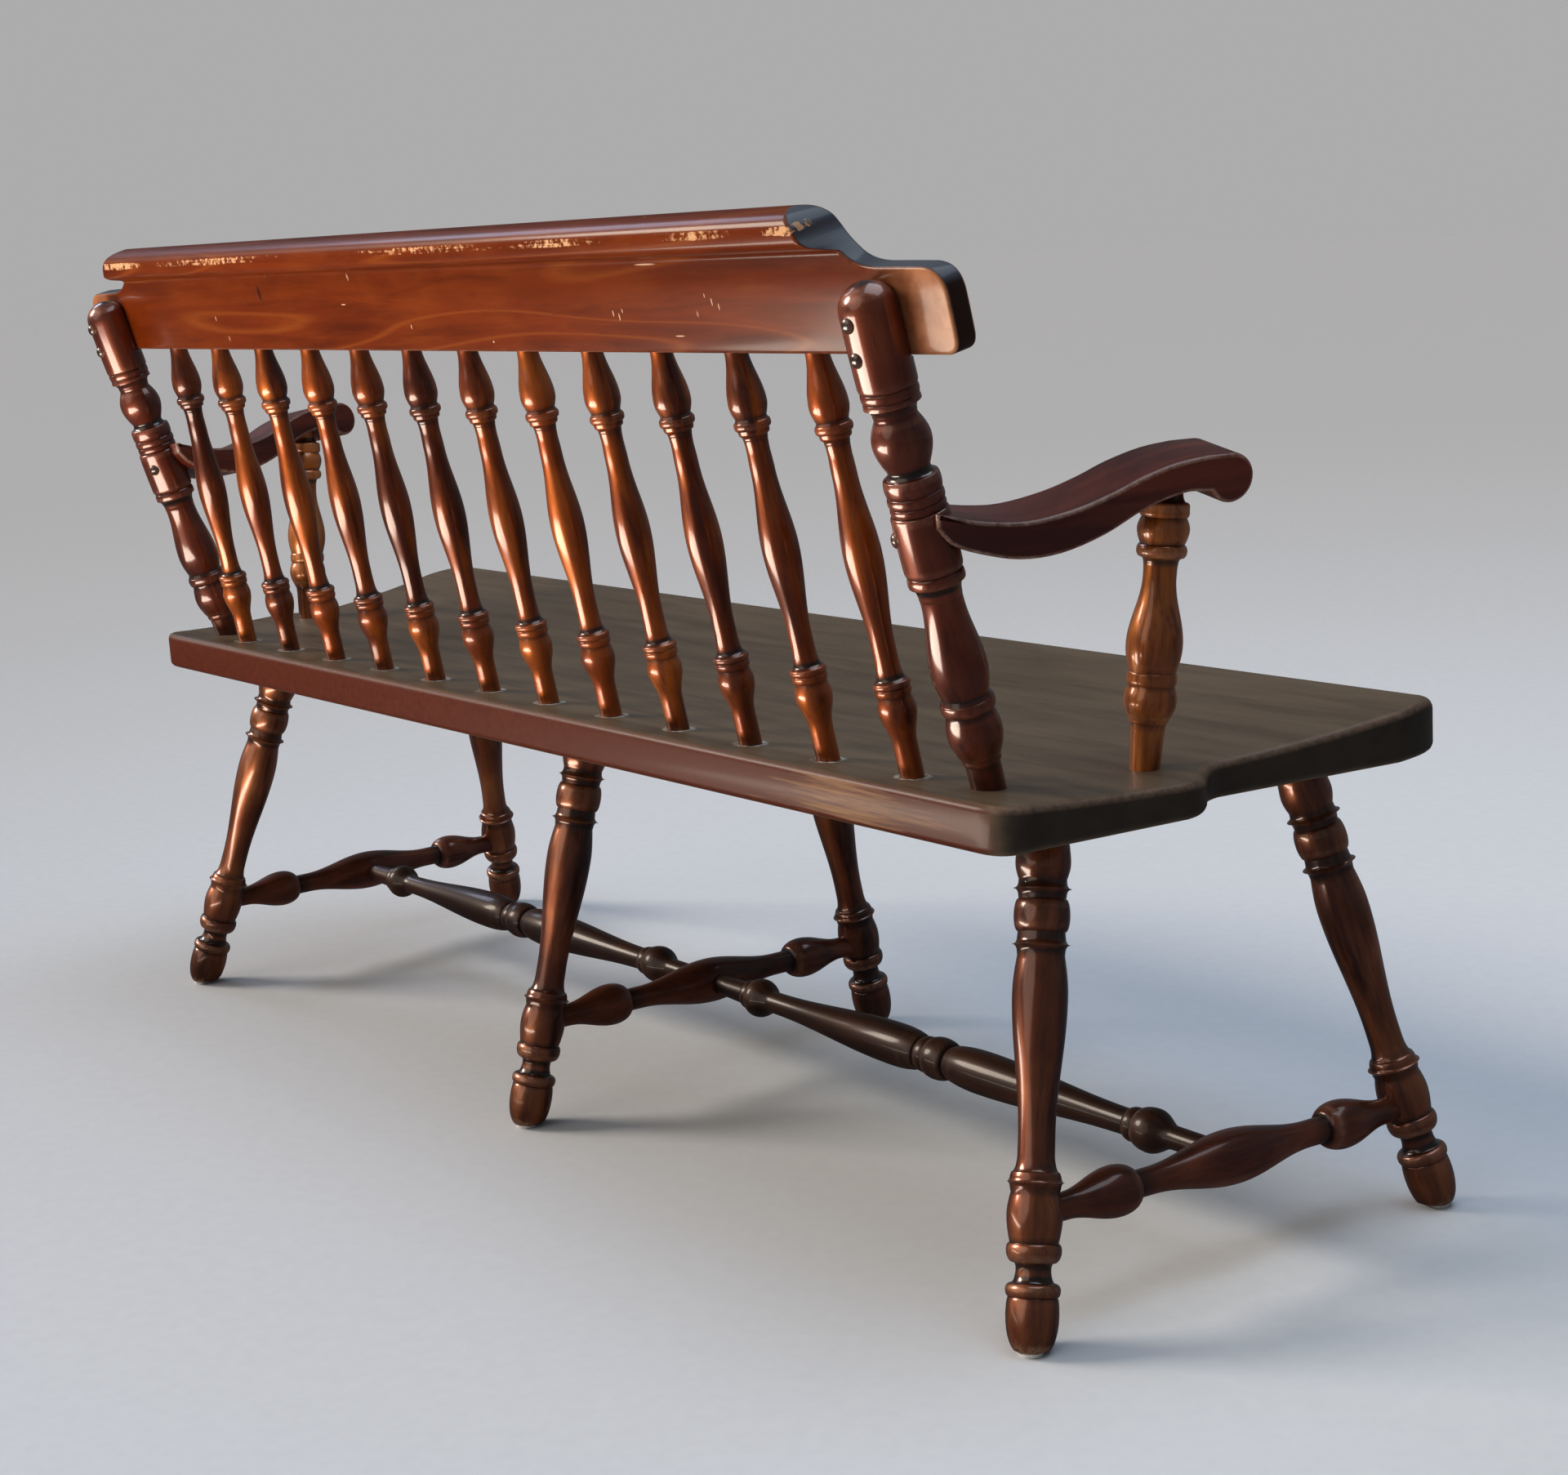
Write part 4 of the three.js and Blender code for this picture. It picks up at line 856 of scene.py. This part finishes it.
def make_legs():
    """The legs and their glides. Answers the point of each leg that takes a stretcher."""
    joints = {}
    for side, sign in SIDES:
        rows = (("rear", REAR_LEAN, CROSS_RISE_REAR), ("front", FRONT_LEAN, CROSS_RISE_FRONT))
        for row, lean, rise in rows:
            name = f"{row}_{side}"
            foot = box_centre(f"glide_{name}")
            foot.z = 0
            direction = Vector((sign * lean.x, lean.y, 1))
            y = foot.y - FEET_LINE
            height = seat_under(y) / (1 - SEAT_UNDER_SLOPE * lean.y)
            top = foot + direction * height
            length = (top - foot).length
            joints[name] = foot + direction.normalized() * rise
            points = closed(turned_profile(LEG_TURNING, length, LEG_RADIUS), 0)
            leg = turned_piece(f"leg_{name}", points, foot, top, LEG_WOOD, bare=foot_bareness)
            level_foot(leg, top - foot)
            turned_piece(f"glide_{name}", GLIDE_PROFILE, foot, foot + UP, NYLON, "nylon")
    return joints


def level_foot(piece, axis):
    """Cuts a leg's foot level over its glide."""
    cut = GLIDE_THICKNESS + FOOT_CLEARANCE
    for vertex in piece.data.vertices:
        if vertex.co.z < cut:
            vertex.co += axis * ((cut - vertex.co.z) / axis.z)


def make_stretcher(name, start, end, turning, radius, holder_radius, material):
    """A stretcher between the axes of two pieces that hold it, which starts inside them."""
    inside = holder_radius * STRETCHER_START
    length = (end - start).length
    points = [(r, h) for r, h in turned_profile(turning, length, radius) if inside < h < length - inside]
    turned_piece(name, points, start, end, material)


def make_stretchers(joints):
    middles = {}
    for side, _ in SIDES:
        rear, front = joints[f"rear_{side}"], joints[f"front_{side}"]
        middles[side] = (rear + front) / 2
        name = f"stretcher_cross_{side}"
        make_stretcher(name, rear, front, CROSS_TURNING, CROSS_RADIUS, LEG_RADIUS, CROSS_LIT_WOOD)
    for side, start, end in (("left", "left", "middle"), ("right", "middle", "right")):
        name = f"stretcher_medial_{side}"
        a, b = middles[start], middles[end]
        make_stretcher(name, a, b, MEDIAL_TURNING, MEDIAL_RADIUS, CROSS_RADIUS, LOW_WOOD)


make_stretchers(make_legs())

# Back: spindles, posts and crest
CREST_UP = Vector((0, sin(CREST_RAKE), cos(CREST_RAKE)))
CREST_OUT = Vector((0, cos(CREST_RAKE), -sin(CREST_RAKE)))
CREST_ORIGIN = place(0, CREST_BACK, SEAT_HEIGHT + CREST_LOWER)


def make_spindles():
    top_middle = CREST_ORIGIN - CREST_OUT * CREST_THICKNESS / 2
    for i in range(SPINDLES):
        share = 2 * i / (SPINDLES - 1) - 1
        base = place(share * SPINDLE_BASE_SPAN, SPINDLE_ROW, seat_top(SPINDLE_ROW))
        top = Vector((share * SPINDLE_TOP_SPAN, top_middle.y, top_middle.z))
        points = closed(turned_profile(SPINDLE_TURNING, (top - base).length, SPINDLE_RADIUS), SINK, SINK / 2)
        turned_piece(f"spindle_{i + 1:02d}", points, base, top, SPINDLE_WOOD)


def post_axis(sign):
    """The foot of a back post and the way it runs."""
    base = place(sign * POST_BASE.x, POST_BASE.y, seat_top(POST_BASE.y))
    return base, Vector((sign * POST_LEAN.x, POST_LEAN.y, 1)).normalized()


def make_posts():
    for side, sign in ENDS:
        base, direction = post_axis(sign)
        points = turned_profile(POST_TURNING, POST_LENGTH, POST_RADIUS)
        points[-1] = (POST_RADIUS * POST_TIP, points[-1][1])
        points = closed(points, SINK, 0)
        flatten_for_crest(turned_piece(f"back_post_{side}", points, base, base + direction, POST_WOOD))


def flatten_for_crest(piece):
    """Moves the front of a post's head back to the plane where the crest lies."""
    for vertex in piece.data.vertices:
        behind = (vertex.co - CREST_ORIGIN).dot(CREST_OUT)
        above = (vertex.co - CREST_ORIGIN).dot(CREST_UP)
        if above > 0 and behind < 0:
            vertex.co -= CREST_OUT * behind


# The crest's end, from its foot to the roll's top: half width and height on the board. Curves of three
# points, each from the end of the one before.
CREST_END = [
    (0.7305, 0), (0.7445, 0), (0.7445, 0.014), (0.7448, 0.03), (0.7445, 0.044), (0.743, 0.063),
    (0.722, 0.0645), (0.7, 0.0652), (0.676, 0.0656), (0.65, 0.066), (0.638, 0.077), (0.624, 0.088),
    (0.619, 0.1), (0.614, 0.111), (0.598, 0.1141),
]
ROLL_FOOT = 0.078
ROLL_OUT = 0.026
ROLL_LOW = 0.09
ROLL_HIGH = 0.103
ROLL_FRONT = 0.092

# The roll's back under and over its fullest part, and the front's bend to the top: depth behind the
# board's back, and height on the board
ROLL_UNDER = [(0, ROLL_FOOT), (0.002, ROLL_FOOT + 0.003), (ROLL_OUT - 0.006, 0.082), (ROLL_OUT, ROLL_LOW)]
ROLL_OVER = [(ROLL_OUT, ROLL_HIGH), (ROLL_OUT - 0.002, CREST_HEIGHT - 0.001), (0.003, CREST_HEIGHT)]
FRONT_BEND = [
    (-CREST_THICKNESS, ROLL_FRONT), (-CREST_THICKNESS + 0.002, CREST_HEIGHT - 0.001), (0.003, CREST_HEIGHT),
]
ROLL_BULGE = 0.0006
CREST_TOP_MIDDLE = Vector((0.59, CREST_HEIGHT - 0.0001))
LIP_BELOW, LIP_ABOVE = 0.005, 0.002  # how far the rubbed lip reaches round ROLL_HIGH
EDGE_ROOM = 0.9  # the most that the edge's rounding takes of half the thickness
EDGE_TOP_ROOM = 0.5  # and of the height left below the roll's top
EDGE_LEAST = 0.0002
HALVINGS = 24


def curve_at(points, height):
    """The across value where a Bezier curve of (across, height) points passes a height."""
    low, high = 0.0, 1.0
    for _ in range(HALVINGS):
        t = (low + high) / 2
        here = on_curve(points, t)
        low, high = (t, high) if here.y < height else (low, t)
    return here.x


def crest_back(height):
    """The depth of the crest's back face at a height on the board."""
    if height <= ROLL_FOOT:
        return 0.0
    if height <= ROLL_LOW:
        return curve_at(ROLL_UNDER, height)
    if height <= ROLL_HIGH:
        return ROLL_OUT + ROLL_BULGE * sin(pi * (height - ROLL_LOW) / (ROLL_HIGH - ROLL_LOW))
    return curve_at(ROLL_OVER, height)


def crest_front(height):
    """The depth of the crest's front face at a height on the board."""
    return -CREST_THICKNESS if height <= ROLL_FRONT else curve_at(FRONT_BEND, height)


def crest_section(outline, i):
    """Round the crest's edge at a point of its end: each (x, depth, height), wear, bare wood, and grime with
    painted shade.
    """
    p = outline[i]
    normal = -outward(outline, i, wraps=False) if i else Vector((0, -1))
    room = max(0.0, crest_back(p.y) - crest_front(p.y)) / 2
    edge = min(CREST_EDGE, room * EDGE_ROOM, max(EDGE_LEAST, (CREST_HEIGHT - p.y) * EDGE_TOP_ROOM))
    arcs = quarter_turns(ROUND_STEPS)
    section = []
    for face, turns in (("back", arcs), ("front", reversed(arcs))):
        for turn in turns:
            q = p - normal * edge * (1 - sin(turn))
            drop = edge * (1 - cos(turn))
            depth = crest_back(q.y) - drop if face == "back" else crest_front(q.y) + drop
            on_lip = face == "back" and ROLL_HIGH - LIP_BELOW < q.y < ROLL_HIGH + LIP_ABOVE
            # Grime and painted shade: near black across the end faces, a little on the foot.
            grime_and_shade = sin(turn) ** 6 if p.y > 0 else CREST_FOOT_GRIME_AND_SHADE
            section.append(((q.x, depth, q.y), CREST_WEAR * sin(2 * turn), float(on_lip), grime_and_shade))
    return section


def crest_faces(rows, wide):
    """The rounded edge on both halves, and the back, front, foot and top as strips between them."""
    end, last = wide - 1, rows - 1
    faces = []
    for i in range(last):
        for k in range(end):
            faces.append(((i, 0, k), (i, 0, k + 1), (i + 1, 0, k + 1), (i + 1, 0, k)))
            faces.append(((i, 1, k), (i + 1, 1, k), (i + 1, 1, k + 1), (i, 1, k + 1)))
        faces.append(((i, 0, 0), (i + 1, 0, 0), (i + 1, 1, 0), (i, 1, 0)))
        faces.append(((i, 0, end), (i, 1, end), (i + 1, 1, end), (i + 1, 0, end)))
    for k in range(end):
        faces.append(((0, 0, k), (0, 1, k), (0, 1, k + 1), (0, 0, k + 1)))
        faces.append(((last, 0, k), (last, 0, k + 1), (last, 1, k + 1), (last, 1, k)))
    return [tuple((2 * row + half) * wide + k for row, half, k in face) for face in faces]


def make_crest():
    outline = [Vector(CREST_END[0])]
    for i in range(0, len(CREST_END) - 2, 2):
        outline += bezier(CREST_END[i:i + 3], CREST_END_STEPS)
    outline += [CREST_TOP_MIDDLE]
    sections = [crest_section(outline, i) for i in range(len(outline))]
    points = []
    for section in sections:
        for sign in (1, -1):
            for (x, depth, height), *look in section:
                sideways = Vector((sign * x, 0, 0))
                points.append((CREST_ORIGIN + sideways + CREST_OUT * depth + CREST_UP * height, *look))
    vertices, attributes = looks(points, CREST_TONE)
    faces = crest_faces(len(sections), len(sections[0]))
    crest = new_piece("crest", vertices, faces, RAIL_WOOD, attributes)
    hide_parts("crest_rail")


make_spindles()
make_posts()
make_crest()


# Arms: the top and the underside from the side, along the arm and up, as shares of its length
ARM_TOP = [
    (-0.01, 0.055), (0.05, 0.042), (0.11, 0.026), (0.2, 0.012), (0.3, 0.008), (0.43, 0.028), (0.54, 0.06),
    (0.64, 0.098), (0.75, 0.127), (0.85, 0.138),
]
ARM_UNDER = [
    (0.83, 0.036), (0.77, 0.036), (0.65, 0.003), (0.52, -0.058), (0.385, -0.096), (0.255, -0.1),
    (0.125, -0.07), (0.04, -0.035), (-0.005, 0.012),
]


def smooth_line(points, steps):
    """A smooth curve through points."""
    line = [Vector(p) for p in (points[0], *points, points[-1])]
    made = [line[0]]
    for p0, p1, p2, p3 in zip(line, line[1:], line[2:], line[3:]):
        for k in range(1, steps + 1):
            t = k / steps
            square = (2 * p0 - 5 * p1 + 4 * p2 - p3) * t * t
            cube = (3 * p1 - p0 - 3 * p2 + p3) * t ** 3
            made.append(0.5 * (2 * p1 + (p2 - p0) * t + square + cube))
    return made


def arm_outline():
    """An arm from the side: top, knuckle and underside."""
    top = [p * ARM_LENGTH for p in smooth_line(ARM_TOP, ARM_STEPS)]
    under = [p * ARM_LENGTH for p in smooth_line(ARM_UNDER, ARM_STEPS)]
    centre = Vector((ARM_LENGTH - KNUCKLE_RADIUS, ARM_TOP[-1][1] * ARM_LENGTH - KNUCKLE_RADIUS))
    turns = [pi / 2 - KNUCKLE_TURN * i / KNUCKLE_STEPS for i in range(KNUCKLE_STEPS + 1)]
    knuckle = [centre + KNUCKLE_RADIUS * Vector((cos(a), sin(a))) for a in turns]
    return top + knuckle + under


def arm_frame(sign):
    """The arm's own frame: X along it, Y up and Z across, from its rear end on the back post."""
    base, direction = post_axis(sign)
    on_axis = base + direction * (ARM_HEIGHT / direction.z)
    forward = Vector((sign * sin(ARM_SPLAY), -cos(ARM_SPLAY), 0))
    level = Vector((-sign * cos(ARM_SPLAY), -sin(ARM_SPLAY), 0))
    inwards = level * cos(ARM_TILT) + UP * sin(ARM_TILT)
    up = forward.cross(inwards)
    if up.z < 0:
        up.negate()
    across = forward.cross(up)
    own = Matrix((forward, up, across)).transposed().to_4x4()
    return Matrix.Translation(on_axis + inwards * ARM_INSET) @ own


def make_arm(side, sign, outline):
    """One arm: the outline twice, with rounded edges between its two faces."""
    count = len(outline)
    arcs = quarter_turns(ROUND_STEPS)
    layers = [(-1, turn) for turn in arcs] + [(1, turn) for turn in reversed(arcs)]
    points = []
    for face, turn in layers:
        for i, p in enumerate(outline):
            q = p - outward(outline, i) * ARM_EDGE * (1 - sin(turn))
            depth = ARM_WIDTH / 2 - ARM_EDGE * (1 - cos(turn))
            points.append((Vector((q.x, q.y, face * depth)), ARM_WEAR * sin(2 * turn), 0.0, 0.0))
    faces = wall_faces(len(layers), count)
    faces.append(tuple(range(count)))
    faces.append(tuple(reversed(range((len(layers) - 1) * count, len(layers) * count))))
    vertices, attributes = looks(points, tone())
    arm = new_piece(f"arm_{side}_wood", vertices, faces, ARM_WOOD, attributes, arm_frame(sign))
    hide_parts(f"arm_{side}")


def make_arm_post(side, sign, outline):
    base = place(sign * ARM_POST_BASE.x, ARM_POST_BASE.y, seat_top(ARM_POST_BASE.y))
    under = next(a.lerp(b, 0.5).y for a, b in zip(outline, outline[1:]) if b.x < ARM_POST_AT < a.x)
    top = arm_frame(sign) @ Vector((ARM_POST_AT, under, 0))
    points = closed(turned_profile(ARM_POST_TURNING, (top - base).length, ARM_POST_RADIUS))
    turned_piece(f"arm_post_{side}", points, base, top, ARM_POST_LIT_WOOD)


def make_arms():
    outline = arm_outline()
    for side, sign in ENDS:
        make_arm(side, sign, outline)
        make_arm_post(side, sign, outline)


def make_buttons():
    """On each back post, two towards the crest and one towards the arm."""
    rim = POST_RADIUS - BUTTON_SUNK
    rise = BUTTON_STAND + BUTTON_SUNK
    points = [(BUTTON_RADIUS, rim - BUTTON_ROOT)]
    for turn in quarter_turns(CURVE_STEPS)[:-1]:
        points.append((BUTTON_RADIUS * cos(turn), rim + rise * sin(turn)))
    points += [(BUTTON_RADIUS * BUTTON_TIP, rim + rise)]
    for side, sign in ENDS:
        base, direction = post_axis(sign)
        level = Vector((-sign * sin(ARM_BUTTON_TURN), cos(ARM_BUTTON_TURN), 0))
        arm_way = (level - direction * level.dot(direction)).normalized()
        buttons = [(f"crest_{key}", height, CREST_OUT) for key, height in CREST_BUTTONS.items()]
        for key, height, way in buttons + [("arm", ARM_BUTTON, arm_way)]:
            start = base + direction * height
            turned_piece(f"button_{side}_{key}", points, start, start + way, BUTTON_WOOD)


make_arms()
make_buttons()

# The screws stay as CAD nodes, in steel
for name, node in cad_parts.items():
    if name.startswith("screw_"):
        node.data.materials.clear()
        node.data.materials.append(STEEL)


# Floor, light and camera
AMBIENT = rgb(0.1, 0.11, 0.12)
BACKDROP = rgb(0.419, 0.413, 0.413)
FLOOR_DARK = rgb(0.64, 0.665, 0.715)
FLOOR_PALE = rgb(0.715, 0.75, 0.79)
FLOOR_IN_GLOSS = rgb(0.1, 0.1, 0.11)
FLOOR_SIZE = 60


def make_floor():
    """A plain pale floor, which reflections see darker."""
    n = Nodes("floor")
    pale = n.mix(n.noise(EVEN, FLOOR_GRAIN), FLOOR_DARK, FLOOR_PALE)
    in_gloss = n.add("ShaderNodeLightPath").outputs["Is Glossy Ray"]
    material = n.surface({
        "Base Color": n.mix(in_gloss, pale, FLOOR_IN_GLOSS),
        "Roughness": 0.9,
        "Specular IOR Level": 0.0,
    })
    bpy.ops.mesh.primitive_plane_add(size=FLOOR_SIZE, location=(0, 0, 0))
    floor = bpy.context.object
    floor.name = "floor"
    floor.data.materials.append(material)


def make_world():
    """Dim light from all round. The camera sees the backdrop in its place."""
    world = bpy.data.worlds.new("studio")
    bpy.context.scene.world = world
    world.use_nodes = True
    nodes, links = world.node_tree.nodes, world.node_tree.links
    level = nodes.new("ShaderNodeMix")
    level.data_type = "RGBA"
    level.inputs[6].default_value = AMBIENT
    level.inputs[7].default_value = BACKDROP
    links.new(nodes.new("ShaderNodeLightPath").outputs["Is Camera Ray"], level.inputs[0])
    links.new(level.outputs[2], nodes["Background"].inputs["Color"])


def add_lamp(name, kind, position, aim, power, colour, **settings):
    data = bpy.data.lights.new(name, kind)
    data.energy = power
    data.color = colour
    for key, value in settings.items():
        setattr(data, key, value)
    lamp = bpy.data.objects.new(name, data)
    lamp.visible_camera = False
    bpy.context.scene.collection.objects.link(lamp)
    lamp.location = position
    lamp.rotation_mode = "QUATERNION"
    lamp.rotation_quaternion = (Vector(position) - Vector(aim)).to_track_quat("Z", "Y")


CAMERA_AT = Vector((-2.1325, 1.4753, 0.8707))
CAMERA_TURN = (-0.6440, -0.1982, -0.0609)  # yaw, pitch and roll
FOCAL_SHARE = 3175.4 / 1920  # of the image's width
SENSOR = 36.0
CLIP = (0.05, 200)


def make_camera():
    yaw, pitch, roll = CAMERA_TURN
    forward = Vector((cos(pitch) * cos(yaw), cos(pitch) * sin(yaw), sin(pitch)))
    level = forward.cross(UP).normalized()
    rise = level.cross(forward)
    right = level * cos(roll) + rise * sin(roll)
    over = rise * cos(roll) - level * sin(roll)
    data = bpy.data.cameras.new("photo_camera")
    data.sensor_fit = "HORIZONTAL"
    data.sensor_width = SENSOR
    data.lens = SENSOR * FOCAL_SHARE
    data.clip_start, data.clip_end = CLIP
    camera = bpy.data.objects.new("photo_camera", data)
    bpy.context.scene.collection.objects.link(camera)
    own = Matrix((right, over, -forward)).transposed().to_4x4()
    camera.matrix_world = Matrix.Translation(CAMERA_AT + Vector((0, FEET_LINE, 0))) @ own
    bpy.context.scene.camera = camera


make_floor()
make_world()
add_lamp("day", "SUN", (2.7, 2.0, 1.8), (0, 0, 0), 2.5, (1.0, 0.88, 0.74), angle=radians(22))
add_lamp("room", "SUN", (0.7, 4.5, 2.4), (0, 0, 0), 0.6, (1.0, 0.9, 0.78), angle=radians(50))
add_lamp("window", "SUN", (3.0, 0.1, 2.2), (0, 0, 0), 0.45, (0.7, 0.77, 1.0), angle=radians(18))
# A low lamp in place of bright ground beside the bench, and one overhead in place of the sky
add_lamp(
    "ground", "AREA", (0.35, 1.72, 0.02), (0.35, 1.72, 4), 92, (1.0, 0.9, 0.76),
    shape="RECTANGLE", size=1.45, size_y=1.26,
)
add_lamp(
    "sky", "AREA", (-0.8, -0.6, 3.6), (0, 0, 0.3), 60, (0.74, 0.86, 1.0),
    shape="RECTANGLE", size=3.0, size_y=2.4,
)
make_camera()
bpy.context.scene.view_settings.view_transform = "Standard"
